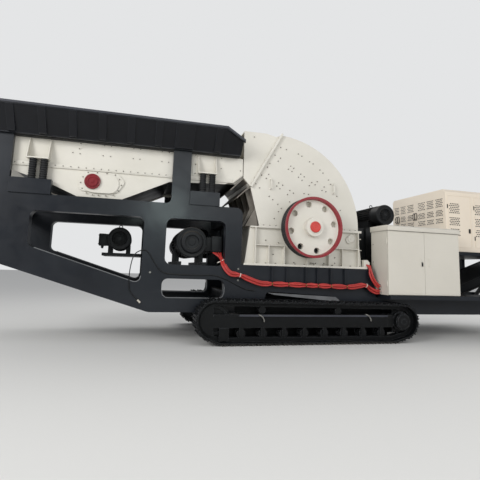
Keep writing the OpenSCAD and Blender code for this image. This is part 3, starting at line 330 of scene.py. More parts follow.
def addWall(bm, lower, upper, finishIndex=0):
    # faces between two rings of corners; a ring of one corner closes the form to a point
    count = max(len(lower), len(upper))
    for i in range(count):
        j = (i + 1) % count
        corners = (lower[i % len(lower)], lower[j % len(lower)], upper[j % len(upper)], upper[i % len(upper)])
        bm.faces.new(list(dict.fromkeys(corners))).material_index = finishIndex


def addPrism(bm, first, last, finishIndex=0):
    # a closed form between two like outlines
    first, last = ([bm.verts.new(p) for p in outline] for outline in (first, last))
    bm.faces.new(first).material_index = finishIndex
    bm.faces.new(last[::-1]).material_index = finishIndex
    addWall(bm, last, first, finishIndex)


def addOutline(bm, points, y0, y1):
    # a plate cut to an outline of (x, z) points, between two distances across the machine
    addPrism(bm, *([(x, y, z) for x, z in points] for y in (y0, y1)))


def addBlock(bm, low, high, soft=0.003, finishIndex=0):
    # a plate or block between two corners, its edges rounded by soft metres
    low, high = Vector(low), Vector(high)
    made = bmesh.ops.create_cube(bm, size=1.0)
    for vert in made["verts"]:
        vert.co = low + (vert.co + Vector((0.5, 0.5, 0.5))) * (high - low)
    faces = {face for vert in made["verts"] for face in vert.link_faces}
    edges = list({edge for face in faces for edge in face.edges})
    rounded = bmesh.ops.bevel(bm, geom=edges, offset=soft, segments=2, affect="EDGES", profile=0.6)
    faces = {face for face in faces if face.is_valid}
    for face in faces.union(*(vert.link_faces for vert in rounded["verts"])):
        face.material_index = finishIndex


def addSideBlock(bm, side, low, high, soft=0.003, finishIndex=0):
    # a block on one side of the machine, y counted from the middle
    (x0, y0, z0), (x1, y1, z1) = low, high
    y0, y1 = sorted((side * y0, side * y1))
    addBlock(bm, (x0, y0, z0), (x1, y1, z1), soft, finishIndex)


def addTurned(bm, place, direction, profile, steps=20, finishIndex=0, start=0.0):
    # a turned piece: profile holds (radius, distance along the axis); radius 0 closes it to a point
    axis = Vector(direction).normalized()
    side = Vector((1, 0, 0)) if abs(axis.y) > 0.9 else axis.orthogonal().normalized()
    other = axis.cross(side)
    rings = []
    for radius, along in profile:
        middle = Vector(place) + axis * along
        rings.append([bm.verts.new(middle + (side * c + other * s) * radius)
                      for c, s in circle(steps if radius else 1, start)])
    for lower, upper in zip(rings, rings[1:]):
        addWall(bm, lower, upper, finishIndex)


def heading(line, i):
    return (line[min(i + 1, len(line) - 1)] - line[max(i - 1, 0)]).normalized()


def addTube(bm, points, radius, steps=10, finishIndex=0, capped=True):
    # a round bar or hose along a line of points; the ring is carried along without twist
    points = [Vector(p) for p in points]
    side = heading(points, 0).orthogonal()
    rings = []
    for i, point in enumerate(points):
        ahead = heading(points, i)
        side = (side - ahead * side.dot(ahead)).normalized()
        other = ahead.cross(side)
        rings.append([bm.verts.new(point + (side * c + other * s) * radius) for c, s in circle(steps)])
    for lower, upper in zip(rings, rings[1:]):
        addWall(bm, lower, upper, finishIndex)
    if capped:
        for ring in (rings[0][::-1], rings[-1]):
            bm.faces.new(ring).material_index = finishIndex


def smoothLine(points, perSpan=6):
    # a curve through all the points
    points = [Vector(p) for p in points]
    padded = [points[0] * 2 - points[1]] + points + [points[-1] * 2 - points[-2]]
    line = []
    for i in range(1, len(padded) - 2):
        p0, p1, p2, p3 = padded[i - 1:i + 3]
        for s in range(perSpan):
            t = s / perSpan
            line.append(0.5 * (2 * p1 + (p2 - p0) * t + (2 * p0 - 5 * p1 + 4 * p2 - p3) * t ** 2 +
                               (3 * p1 - p0 - 3 * p2 + p3) * t ** 3))
    return line + [points[-1]]


def addBolt(bm, place, direction, across, washer=0, head=0):
    # a hexagon bolt head with chamfered corners on a plain washer
    r = across / 2 * 1.155
    disc = [(0, -0.002), (r * 1.35, -0.002), (r * 1.35, across * 0.10), (r * 0.9, across * 0.11)]
    hexagon = [(r, across * 0.08), (r, across * 0.55), (r * 0.86, across * 0.68), (0, across * 0.68)]
    addTurned(bm, place, direction, disc, 16, washer)
    addTurned(bm, place, direction, hexagon, 6, head, random.random())


def addBolts(bm, side, y, places, across, washer=0, head=1):
    # a bolt at each (x, z) of a side wall
    for x, z in places:
        addBolt(bm, (x, side * y, z), (0, side, 0), across, washer, head)


def addBoltRing(bm, place, side, radius, count, turn, across, *finishIndexes):
    # bolts on a circle that faces sideways, the first one at turn degrees
    x, y, z = place
    for c, s in circle(count, math.radians(turn)):
        addBolt(bm, (x + radius * c, y, z + radius * s), (0, side, 0), across, *finishIndexes)


def makePiece(name, bm, finishNames, body="machine", smoothAngle=35):
    # a mesh becomes a piece that rides on a body and is shaded smooth below the angle
    bmesh.ops.recalc_face_normals(bm, faces=bm.faces[:])
    mesh = bpy.data.meshes.new(name)
    bm.to_mesh(mesh)
    bm.free()
    for finishName in finishNames:
        mesh.materials.append(finish[finishName])
    mesh.shade_smooth()
    mesh.set_sharp_from_angle(angle=math.radians(smoothAngle))
    piece = bpy.data.objects.new(name, mesh)
    bpy.context.scene.collection.objects.link(piece)
    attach(piece, body)
    return piece


def newMeshes(count):
    return [bmesh.new() for i in range(count)]


sides = (-1, 1)   # flywheel side, belt side

# Crusher hood: bolts of the wear liners, lifting bars, bolts of the slanting joint and the split
hoodSettings = {
    "face": 0.95,            # half width over the side plates, metres
    "linerBolt": 0.021,      # across flats
    "linerBolts": [          # x, z
        (-1.35, 3.92), (-1.22, 3.89), (-1.47, 3.74), (-1.35, 3.69), (-1.40, 3.62), (-1.58, 3.55),
        (-1.63, 3.47), (-0.95, 3.82), (-0.87, 3.78), (-0.69, 3.68), (-0.61, 3.64), (-0.45, 3.52),
        (-0.38, 3.46), (-0.25, 3.32), (-0.20, 3.23), (-1.12, 3.54), (-1.05, 3.50), (-1.17, 3.47),
        (-1.09, 3.43), (-0.89, 3.39), (-0.81, 3.34), (-0.94, 3.32), (-0.86, 3.26), (-1.38, 3.16),
        (-1.29, 3.12), (-1.42, 3.09), (-1.35, 3.04), (-1.13, 3.02), (-1.05, 2.97), (-1.18, 2.93),
        (-0.81, 2.98), (-0.71, 2.97), (-0.64, 3.23), (-0.51, 3.26), (-0.69, 3.16), (-0.56, 3.19),
        (-0.35, 3.16), (-0.40, 3.08), (-0.31, 3.06), (-0.05, 2.98), (-1.60, 3.32), (-1.65, 3.23),
        (-1.75, 3.29), (-1.87, 3.10), (-1.79, 3.02), (-1.58, 2.86), (-1.50, 2.80), (-1.39, 2.71),
        (-1.31, 2.63), (-1.37, 2.56), (-1.46, 2.41), (-1.13, 2.78), (0.03, 2.68), (-1.93, 4.08)],
    "jointBolt": 0.024,
    "splitZ": 2.252,
    "splitBolts": [-1.69, -1.56, -1.43, -0.02, 0.11, 0.24, 0.37],
    "joint": ((-1.98, 3.03), (-1.34, 4.18)),   # x, z of its ends
    "jointPitch": 0.145,
    "liftingBars": [(-1.55, 3.02), (-0.14, 3.03)],
    "barHeight": 0.20,
    "barBend": [(-0.004, 0), (0.035, 0), (0.055, 0.02)],   # out of the plate, up from the lower foot
    "barR": 0.013,
    "barFoot": [(0, 0.0), (0.03, 0.0), (0.027, 0.006), (0.014, 0.010), (0, 0.010)],
}


def makeHoodFastenings(s):
    bolts, bars = newMeshes(2)
    h = s["barHeight"]
    for side in sides:
        out = Vector((0, side, 0))
        addBolts(bolts, side, s["face"], s["linerBolts"], s["linerBolt"])
        for x in s["splitBolts"]:
            addBolt(bolts, (x, side * (s["face"] + 0.032), s["splitZ"]), (0, 0, 1), s["jointBolt"], 0, 1)
        low, high = (Vector((x, 0, z)) for x, z in s["joint"])
        line = high - low
        normal = Vector((-line.z, 0, line.x)).normalized()
        count = int(line.length / s["jointPitch"])
        for i in range(count):
            spot = low + line * ((i + 0.5) / count) + out * (s["face"] + 0.028)
            for way in (normal, -normal):
                addBolt(bolts, spot + way * 0.022, way, s["jointBolt"])
        bend = s["barBend"] + [(away, h - up) for away, up in reversed(s["barBend"])]
        for x, z in s["liftingBars"]:
            route = [(x, side * (s["face"] + away), z + up) for away, up in bend]
            addTube(bars, smoothLine(route, 4), s["barR"], 12)
            for end in (z, z + h):
                addTurned(bars, (x, side * s["face"], end), out, s["barFoot"], 18)
    makePiece("hood_liner_bolts", bolts, ["creamEnamel", "weatheredBolt"])
    makePiece("hood_lifting_bars", bars, ["creamEnamel"])


makeHoodFastenings(hoodSettings)

# Crusher base: pocket and flange bolts, weld beads, turned covers, ribs on the end wall
baseSettings = {
    "face": 0.95,
    "pocketBolt": 0.022,
    "pocketBolts": [(-0.10, 1.665), (-0.10, 1.552), (-1.47, 1.68), (-0.64, 1.533), (-0.595, 1.533),
                    (-0.54, 1.535), (-1.02, 1.534), (-0.35, 1.535), (-1.63, 1.958), (-1.36, 1.92)],
    "flangeZ": 1.49,
    "flangeX": (-1.95, 0.55),
    "flangeBolts": 12,
    "flangeBolt": 0.030,
    "flangeOut": 0.05,       # bolts, out from the side plate
    "ribs": [(-1.870, 2.20), (-1.590, 1.845), (-1.260, 1.845), (-0.750, 1.845), (-0.280, 1.845),
             (0.030, 1.845), (0.405, 2.20)],   # x, top
    "ribEdges": (-0.001, 0.017),
    "beadR": 0.005,
    "beadStep": 50,          # rings to the metre
    "cap": (0.27, 2.082),
    "capProfile": [(0.082, -0.002), (0.082, 0.004), (0.074, 0.010), (0.062, 0.010), (0.058, 0.006),
                   (0.02, 0.006), (0.018, 0.012), (0, 0.013)],
    "capRing": [(0.094, -0.001), (0.092, 0.008), (0.081, 0.012)],
    "endRibs": [(2.080, 0.100), (1.840, 0.080), (1.620, 0.070)],   # height, depth
    "endRibHalf": 0.89,
    "endRibThick": 0.016,
    "endWall": (0.530, 0.115),   # x at the flange, lean of the wall
    "gussets": (-0.66, -0.22, 0.22, 0.66),
    "gussetDrop": 0.10,
    "gussetHalf": 0.007,
}


def makeBaseFastenings(s):
    bolts, beads, caps, ribs = newMeshes(4)
    face, foot = s["face"], s["flangeZ"]
    x0, x1 = s["flangeX"]
    for side in sides:
        out = (0, side, 0)
        addBolts(bolts, side, face, s["pocketBolts"], s["pocketBolt"])
        for i in range(s["flangeBolts"]):
            x = x0 + (x1 - x0) * (i + 0.5) / s["flangeBolts"]
            addBolt(bolts, (x, side * (face + s["flangeOut"]), foot), (0, 0, 1), s["flangeBolt"], 0, 1)
        # fillet welds where the ribs stand on the side plate
        for x, top in s["ribs"]:
            rows = range(int(foot * s["beadStep"]) + 1, int(top * s["beadStep"]))
            for edge in s["ribEdges"]:
                line = [(x + edge, side * (face + 0.001), row / s["beadStep"]) for row in rows]
                addTube(beads, line, s["beadR"], 6)
        x, z = s["cap"]
        addTurned(caps, (x, side * (face + 0.030), z), out, s["capProfile"], 36)
        addTurned(caps, (x, side * face, z), out, s["capRing"], 36)
    # level ribs on gussets across the sloping end wall
    for z, depth in s["endRibs"]:
        wall = s["endWall"][0] - (z - foot) * s["endWall"][1]
        half, low = s["endRibHalf"], z - s["gussetDrop"]
        addBlock(ribs, (wall - 0.006, -half, z), (wall + depth, half, z + s["endRibThick"]))
        gusset = [(wall - 0.004, low), (wall + 0.008, low), (wall + depth - 0.01, z + 0.001),
                  (wall - 0.004, z + 0.001)]
        for y in s["gussets"]:
            addOutline(ribs, gusset, y - s["gussetHalf"], y + s["gussetHalf"])
    makePiece("base_end_ribs", ribs, ["creamEnamel"])
    makePiece("base_bolts", bolts, ["creamEnamel", "weatheredBolt"])
    makePiece("base_weld_beads", beads, ["creamEnamel"])
    makePiece("base_side_caps", caps, ["creamEnamel"])


makeBaseFastenings(baseSettings)
print("housing fastenings made")

# Wheels: stepped boss, red shaft cap, rolled hole edges, a ring behind the holes, and black discs behind two
# holes as painted shade
wheelSettings = {
    "bossY": 1.43,
    "boss": [(0.152, -0.030), (0.150, 0.0), (0.144, 0.012), (0.120, 0.014), (0.114, 0.022),
             (0.104, 0.024), (0.100, 0.016), (0.106, 0.014)],
    "cap": [(0.110, 0.008), (0.110, 0.040), (0.102, 0.048), (0.084, 0.049), (0.080, 0.044),
            (0.060, 0.044), (0.056, 0.049), (0.014, 0.049), (0.012, 0.058), (0, 0.058)],
    "capBolts": (0.048, 3, 30, 0.013, 1, 1),   # radius, count, first angle, across flats, finishes
    "capBoltY": 1.474,
    "holes": 8,
    "holeTurn": 11.0,        # degrees
    "holeRing": 0.465,
    "holeY": 1.335,
    "holeEdge": [(0.059, -0.012), (0.061, 0.003), (0.065, 0.005), (0.069, 0.003), (0.070, -0.001)],
    "backY": 1.238,
    "back": [(0.395, 0.0), (0.395, 0.005), (0.535, 0.005), (0.535, 0.0), (0.395, 0.0)],
    "shadedHoles": (5, 6),       # holes with a black disc behind them, painted shade seen through the hole
    "shadeDiscY": 1.242,
    "shadeDisc": [(0.072, 0.0), (0.072, 0.003), (0, 0.003)],
}


def makeWheelTrim(s, name, side):
    boss = bmesh.new()
    (x, z), out = wheelCentre, (0, side, 0)
    for profile, finishIndex in ((s["boss"], 0), (s["cap"], 1)):
        addTurned(boss, (x, side * s["bossY"], z), out, profile, 48, finishIndex)
    addBoltRing(boss, (x, side * s["capBoltY"], z), side, *s["capBolts"])
    turns = circle(s["holes"], math.radians(s["holeTurn"]))
    holes = [(x + s["holeRing"] * a, z + s["holeRing"] * b) for a, b in turns]
    for hx, hz in holes:
        addTurned(boss, (hx, side * s["holeY"], hz), out, s["holeEdge"], 32)
    addTurned(boss, (x, side * s["backY"], z), out, s["back"], 64)
    # black discs behind two holes paint the shade seen through them
    for hx, hz in (holes[i] for i in s["shadedHoles"]):
        addTurned(boss, (hx, side * s["shadeDiscY"], hz), out, s["shadeDisc"], 24, 2)
    makePiece(name, boss, ["creamEnamel", "brightRedEnamel", "blackEnamel"], "rotor_set")


makeWheelTrim(wheelSettings, "flywheel_boss", -1)
makeWheelTrim(dict(wheelSettings, holeTurn=-11.0), "drive_pulley_boss", 1)
print("wheel trim made")

# Feeder: bolts, exciter cover and caps, a black box and pan under the trough as painted shade, strips on the
# wall; seal and rim of the hopper
feederSettings = {
    "face": 0.93,
    "flangeZ": 3.117,
    "flangeX": (-6.85, -3.68),
    "flangePitch": 0.132,
    "wallBolts": [
        (-4.31, 3.577), (-4.185, 3.577), (-3.775, 3.574), (-3.643, 3.574), (-4.31, 3.381), (-4.187, 3.381),
        (-3.773, 3.378), (-3.644, 3.377), (-4.855, 3.382), (-4.722, 3.380), (-4.845, 3.575),
        (-4.720, 3.573), (-5.384, 3.387), (-5.260, 3.377), (-5.260, 3.571), (-2.60, 3.35), (-2.20, 3.34),
        (-2.60, 3.56)],
    "wallBolt": 0.018,
    "plateBolts": [
        (-5.173, 2.947), (-5.206, 2.838), (-5.173, 2.734), (-5.092, 2.655), (-4.983, 2.628),
        (-4.883, 2.628), (-4.753, 2.628), (-4.623, 2.650), (-4.536, 2.736), (-4.490, 2.843),
        (-4.530, 2.952), (-4.611, 3.029), (-4.760, 3.045), (-4.930, 3.045), (-5.090, 3.035)],
    "plateBolt": 0.020,
    "cover": [
        (-5.150, 2.900), (-5.150, 2.790), (-5.121, 2.725), (-5.060, 2.685), (-4.980, 2.668),
        (-4.700, 2.668), (-4.620, 2.690), (-4.560, 2.745), (-4.532, 2.830), (-4.545, 2.915),
        (-4.600, 2.990), (-4.680, 3.022), (-5.050, 3.022), (-5.120, 2.970)],
    "upright": ((-3.174, 0.928, 3.152), (-3.042, 0.942, 3.608)),
    "uprightBolts": [(-3.120, 3.572), (-3.116, 3.385), (-3.120, 3.200)],
    "uprightBolt": 0.022,
    "strap": ((-5.180, 3.600), (-5.276, 3.470)),
    "strapHalf": 0.02,
    "lowerStrip": ((-6.98, 0.928, 3.092), (-2.36, 0.940, 3.150)),
    "stripEnd": [(-2.362, 3.092), (-2.328, 3.092), (-2.153, 3.239), (-2.153, 3.266), (-2.336, 3.113),
                 (-2.362, 3.113)],
    "cap": (-5.00, 2.87),
    "capProfile": [
        (0.142, -0.004), (0.142, 0.046), (0.138, 0.054), (0.130, 0.056), (0.100, 0.056), (0.098, 0.070),
        (0.092, 0.076), (0.074, 0.076), (0.070, 0.066), (0.034, 0.066), (0.030, 0.074), (0, 0.075)],
    "capBolts": (0.120, 8, 22.5, 0.014),   # radius, count, first angle, across flats
    # black pan and box under the trough: painted shade under it and between the skirts
    "pan": [(-3.80, 3.045), (-2.285, 3.045), (-2.205, 3.115), (-2.205, 3.125), (-2.29, 3.055),
            (-3.80, 3.055)],
    "panHalf": 0.904,
    "housing": [(-6.42, 3.060), (-6.31, 2.990), (-5.68, 2.790), (-5.24, 2.615), (-4.48, 2.615),
                (-3.64, 3.000), (-3.60, 3.060)],
    "housingHalf": 0.902,
    "seal": ((-7.0, 0.915, 3.590), (-2.25, 1.045, 3.600)),
    "rim": [(-7.25, 4.020), (-2.602, 4.020), (-2.240, 3.790), (-2.240, 3.835), (-2.590, 4.060),
            (-7.25, 4.060)],
    "rimY": (1.448, 1.454),
}


def makeFeederFastenings(s):
    bolts, trim, caps, pan, seals, rims = newMeshes(6)
    face = s["face"]
    rear, front = s["flangeX"]
    count = int((front - rear) / s["flangePitch"]) + 1
    flangeBolts = [(front - i * s["flangePitch"], s["flangeZ"]) for i in range(count)]
    start, end = (Vector((x, 0, z)) for x, z in s["strap"])
    along = (end - start).normalized() * s["strapHalf"]
    wide = Vector((-along.z, 0, along.x))
    strap = [(v.x, v.z) for v in (start - along + wide, start - along - wide, end + along - wide,
                                  end + along + wide)]
    x, z = s["cap"]
    for side in sides:
        addBolts(bolts, side, face + 0.010, flangeBolts, s["wallBolt"])
        addBolts(bolts, side, face, s["wallBolts"], s["wallBolt"])
        addBolts(bolts, side, face + 0.014, s["plateBolts"], s["plateBolt"])
        addBolts(bolts, side, face + 0.012, s["uprightBolts"], s["uprightBolt"])
        addBolts(bolts, side, face + 0.008, s["strap"], s["wallBolt"])
        for outline, inner, outer in ((s["cover"], 0.012, 0.034), (strap, -0.001, 0.008),
                                      (s["stripEnd"], -0.002, 0.022)):
            addOutline(trim, outline, side * (face + inner), side * (face + outer))
        for name in ("upright", "lowerStrip"):
            addSideBlock(trim, side, *s[name])
        addTurned(caps, (x, side * (face + 0.014), z), (0, side, 0), s["capProfile"], 48)
        addBoltRing(caps, (x, side * (face + 0.070), z), side, *s["capBolts"])
        addSideBlock(seals, side, *s["seal"])
        addOutline(rims, s["rim"], *(side * y for y in s["rimY"]))
    makePiece("feeder_bolts", bolts, ["creamEnamel", "weatheredBolt"])
    makePiece("feeder_trim", trim, ["creamEnamel"])
    piece = makePiece("exciter_cap_covers", caps, ["redEnamel"])
    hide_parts("exciter_caps")
    # a black pan and box that paint the shade under the trough
    for name in ("pan", "housing"):
        addOutline(pan, s[name], -s[name + "Half"], s[name + "Half"])
    makePiece("feeder_shade_pan", pan, ["blackEnamel"])
    makePiece("hopper_seal_strips", seals, ["beltRubber"])
    makePiece("hopper_rim_strips", rims, ["rimAndSheenEnamel"])


makeFeederFastenings(feederSettings)
print("feeder fastenings made")

# Frame: light grey bars along the lower window edges as painted highlight, a thin black lead laid over the
# near side
frameSettings = {
    "highlightY": 1.051,
    "leadY": 1.062,
    "barR": 0.009,
    "edges": [
        [(-5.85, 1.6216), (-4.16, 1.0815), (-4.100, 1.083), (-4.050, 1.120), (-4.032, 1.190)],
        [(-3.648, 0.930), (-3.625, 0.850), (-3.560, 0.803), (-2.580, 0.802), (-2.505, 0.830),
         (-2.472, 0.910), (-2.470, 1.02)],
    ],
    "lead": [
        (-4.050, 0.745), (-4.165, 0.860), (-4.225, 0.980), (-4.230, 1.280), (-4.170, 1.560),
        (-4.020, 1.655), (-3.920, 1.610), (-3.800, 1.430), (-3.670, 1.280), (-3.500, 1.235),
        (-2.980, 1.222), (-2.700, 1.232), (-2.510, 1.184), (-2.245, 1.067), (-2.060, 0.985),
        (-1.870, 0.956)],
    "plug": [(0.016, -0.02), (0.016, 0.05), (0, 0.05)],
}


def makeFrameTrim(s):
    edges, lead = newMeshes(2)
    # light grey bars on the lower window edges: painted highlight
    for side in sides:
        for route in s["edges"]:
            addTube(edges, [(x, side * s["highlightY"], z) for x, z in route], s["barR"], 8)
    makePiece("window_edge_highlights", edges, ["guardGreyAndHighlight"])
    line = [Vector((x, -s["leadY"], z)) for x, z in s["lead"]]
    addTube(lead, smoothLine(line), s["barR"], 8)
    addTurned(lead, line[0], line[0] - line[1], s["plug"], 16, 1)
    makePiece("black_lead", lead, ["blackEnamel", "paleNylon"])


makeFrameTrim(frameSettings)
print("frame trim made")

# Cables: four from the left motor's box and four from the junction box, with ties and clips
cableSettings = {
    "radius": 0.017,
    "run": [
        (-2.50, -0.900, 1.555), (-2.49, -1.050, 1.425), (-2.38, -1.120, 1.285), (-2.18, -1.125, 1.245),
        (-1.81, -1.125, 1.115), (-1.55, -1.125, 1.100), (-0.70, -1.125, 1.088), (0.03, -1.125, 1.076),
        (0.23, -1.125, 1.080), (0.43, -1.125, 1.115), (0.53, -1.125, 1.105), (0.63, -1.125, 1.040),
        (0.74, -1.125, 0.990), (0.826, -1.125, 0.992)],
    "branch": [(0.640, -1.090, 1.430), (0.674, -1.125, 1.272), (0.752, -1.125, 1.160),
               (0.826, -1.125, 1.090)],
    "runStart": (-2.66, -0.76, 1.675),
    "runStep": (0.052, 0.0, 0.0),
    "branchStart": (0.590, -1.05, 1.545),
    "branchStep": (0.030, 0.0, -0.008),
    "tied": [(0.0, 0.017), (0.0, -0.017), (-0.034, 0.017), (-0.034, -0.017)],   # beside and above the line
    "loose": [(0.0, 0.034), (-0.004, -0.014), (-0.034, 0.010), (-0.018, -0.036)],
    "bow": 0.015,            # outward, where a cable leaves its box
    "swell": 0.11,           # from a tie to where the cables lie loose
    "ties": [-2.19, -1.546, -1.203, -0.833, -0.575, -0.285, 0.062, 0.52],
    "paleTies": [-2.19, 0.52],
    "tieR": 0.041,
    "bandR": 0.0035,
    "bandShifts": (-0.0045, 0.0, 0.0045),
    "lock": ((-0.007, -0.050, -0.007), (0.007, -0.038, 0.007)),   # from the middle of the bundle
    "clipScrew": (0, -0.042, 0.004),
    "clipScrewAcross": 0.018,
    "motorTie": [(-2.600, -0.920, 1.475), (-2.600, -0.968, 1.475), (-2.490, -0.984, 1.5325),
                 (-2.380, -0.968, 1.590), (-2.380, -0.920, 1.590)],
    "studs": [(-2.205, 1.365), (-2.205, 1.150), (-3.87, 1.256)],
    "studY": 1.05,
    "studAcross": 0.024,
    "junction": ((0.540, -1.040, 1.490), (0.672, -0.952, 1.640)),
    "sleeves": [(0.848, -1.135, 0.990), (0.848, -1.135, 1.090)],
    "sleeve": [(0.066, -0.010), (0.066, 0.004), (0.060, 0.010), (0.052, 0.010), (0.048, 0.004), (0, 0.004)],
}


def bundleLine(s, line, index):
    # a cable lies close to the others at a tie and swells away from them between ties
    points = []
    for i, point in enumerate(line):
        above = heading(line, i).cross(Vector((0, 1, 0))).normalized()
        share = min(1.0, min(abs(point.x - x) for x in s["ties"]) / s["swell"])
        share = share * share * (3 - 2 * share)
        (y0, z0), (y1, z1) = s["tied"][index], s["loose"][index]
        points.append(point + Vector((0, y0 + (y1 - y0) * share, 0)) + above * (z0 + (z1 - z0) * share))
    return points


def makeCables(s):
    # stands in the place of the plain cables, each one smooth between the same points
    cables, ties, clips, box, sleeves = newMeshes(5)
    for name in ("run", "branch"):
        line = smoothLine(s[name], 10)
        for i in range(len(s["tied"])):
            start = Vector(s[name + "Start"]) + Vector(s[name + "Step"]) * i
            rest = bundleLine(s, line, i)[3:]
            middle = start * 0.6 + rest[0] * 0.4 + Vector((0, -s["bow"], 0))
            addTube(cables, smoothLine([start, middle, rest[0]], 5)[:-1] + rest, s["radius"], 12)
    piece = makePiece("power_cables", cables, ["cableSheath"])
    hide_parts("motor_cables")
    # pale ties with a lock, dark clips with a screw
    addBolts(clips, -1, s["studY"], s["studs"], s["studAcross"], 2, 2)
    line = smoothLine(s["run"], 10)
    for x in s["ties"]:
        pale = x in s["paleTies"]
        band = ties if pale else clips
        index = min(range(len(line)), key=lambda i: abs(line[i].x - x))
        ahead = heading(line, index)
        middle = line[index] + ahead * (x - line[index].x) + Vector((0, -0.017, 0))
        up = ahead.cross(Vector((0, 1, 0))).normalized()
        hoop = [middle + (Vector((0, a, 0)) + up * b) * s["tieR"] for a, b in circle(16, closed=True)]
        for shift in s["bandShifts"]:
            addTube(band, [p + ahead * shift for p in hoop], s["bandR"], 6, capped=False)
        if pale:
            addBlock(band, *(middle + Vector(corner) for corner in s["lock"]), 0.002)
        else:
            addBolt(band, middle + Vector(s["clipScrew"]), (0, -1, 0), s["clipScrewAcross"], 1, 1)
    for shift in (-0.006, 0.0, 0.006):
        addTube(ties, [(x, y, z + shift) for x, y, z in s["motorTie"]], 0.004, 6)
    makePiece("cable_ties", ties, ["paleNylon"])
    makePiece("cable_clips", clips, ["beltRubber", "brassScrew", "zincBolt"])
    # junction box on the base's flange: pressed box with a screwed lid and a slanted shoulder
    (x0, y0, z0), (x1, y1, z1) = s["junction"]
    for inset, cut, near, far in ((0.0, 0.050, y0, y1), (0.012, 0.043, y0 - 0.005, y0 + 0.002)):
        left, right, low, top = x0 + inset, x1 - inset, z0 + inset, z1 - inset
        shape = [(left, low), (right, low), (right, top - cut), (right - cut, top), (left, top)]
        addOutline(box, shape, near, far)
    inset = 0.022
    screws = [(x0 + inset, z0 + inset), (x1 - inset, z0 + inset), (x0 + inset, z1 - inset)]
    addBolts(box, -1, 0.004 - y0, screws, 0.010, 0, 0)
    piece = makePiece("junction_box_cover", box, ["creamEnamel"])
    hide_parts("junction_box")
    # rubber sleeves where the cables enter the cabinet
    for place in s["sleeves"]:
        addTurned(sleeves, place, (-1, 0, 0), s["sleeve"], 28)
    makePiece("cable_sleeves", sleeves, ["beltRubber"])


makeCables(cableSettings)
print("cables made")

# Cabinet: door handle with a lock, side screws, roof with a slanting front edge over the doors
cabinetSettings = {
    "handle": [((1.632, -1.462, 1.5415), (1.664, -1.446, 1.6335)),
               ((1.639, -1.474, 1.5495), (1.657, -1.458, 1.6055))],
    "lock": (1.648, -1.462, 1.6195),
    "lockProfile": [(0.011, -0.002), (0.011, 0.004), (0.009, 0.006), (0, 0.006)],
    "screws": [(0.840, -0.918, 1.250), (0.840, -0.918, 1.609), (0.840, -0.918, 1.987)],
    "screwProfile": [(0.012, -0.002), (0.012, 0.003), (0.008, 0.006), (0, 0.006)],
    "roof": [(-1.482, 2.260), (-0.832, 2.260), (-0.832, 2.372), (-1.418, 2.372), (-1.482, 2.340)],   # y, z
    "roofX": (0.822, 2.598),
}


def makeCabinetTrim(s):
    handle, screws, roof = newMeshes(3)
    for low, high in s["handle"]:
        addBlock(handle, low, high, 0.004)
    addTurned(handle, s["lock"], (0, -1, 0), s["lockProfile"], 20, 1)
    makePiece("cabinet_handle", handle, ["blackEnamel", "zincBolt"], "door_left")
    for place in s["screws"]:
        addTurned(screws, place, (-1, 0, 0), s["screwProfile"], 16)
    makePiece("cabinet_side_screws", screws, ["weatheredBolt"])
    addPrism(roof, *([(x, y, z) for y, z in s["roof"]] for x in s["roofX"]))
    bmesh.ops.bevel(roof, geom=roof.edges[:], offset=0.004, segments=2, affect="EDGES", profile=0.6)
    makePiece("cabinet_roof", roof, ["greyPowderCoat"])


makeCabinetTrim(cabinetSettings)

# Generator: perforated vents, latches on the end, framed side doors with hinges and a catch each
generatorSettings = {
    "endX": 2.70,
    "sideY": 0.97,
    "holeCell": 0.052,       # pitch of the punched slots
    "holeR": 0.021,
    "holeFlat": 0.62,        # height of a slot to its width
    "sheetDepths": (0.003, 0.0005, 0.0008),   # front, inner end of a slot, dark sheet of painted shade
    "endColumns": [(-0.90, -0.66), (-0.60, -0.36), (-0.31, -0.045), (0.115, 0.362), (0.43, 0.64),
                   (0.70, 0.90)],
    "endRows": [(2.955, 3.165), (2.745, 2.895), (2.575, 2.700), (2.28, 2.46)],
    "sideColumns": [(2.80, 3.10), (3.52, 3.78), (4.20, 4.50)],
    "sideRows": [(2.80, 3.05), (2.52, 2.72), (2.28, 2.46)],
    "latches": [(0.065, 2.828), (0.767, 2.815)],    # y, z on the end face
    "latchLoops": ((0.040, 0.030), (-0.036, 0.036)),   # offset, half width
    "loop": ((-1, -0.6), (-0.6, -1), (0.6, -1), (1, -0.6), (1, 0.6), (0.6, 1), (-0.6, 1), (-1, 0.6),
             (-1, -0.6)),
    "loopHalf": 0.085,
    "loopR": 0.009,
    "latchPlate": ((-0.006, -0.070, -0.080), (0.001, 0.068, 0.080)),   # from the latch's place
    "latchBar": ((-0.020, -0.046, -0.045), (-0.004, -0.028, 0.045)),
    "doors": (2.76, 3.50, 4.24),
    "doorWidth": 0.66,
    "doorZ": (2.02, 3.24),
    "doorBar": 0.02,
    "hingeZ": (2.20, 2.92),
    "hinge": [(0, 0), (0.010, 0), (0.010, 0.09), (0, 0.09)],
    "catch": (0.09, 0.045, 2.36, 2.46, 0.016),   # from and to the door's edge, low, high, depth
}


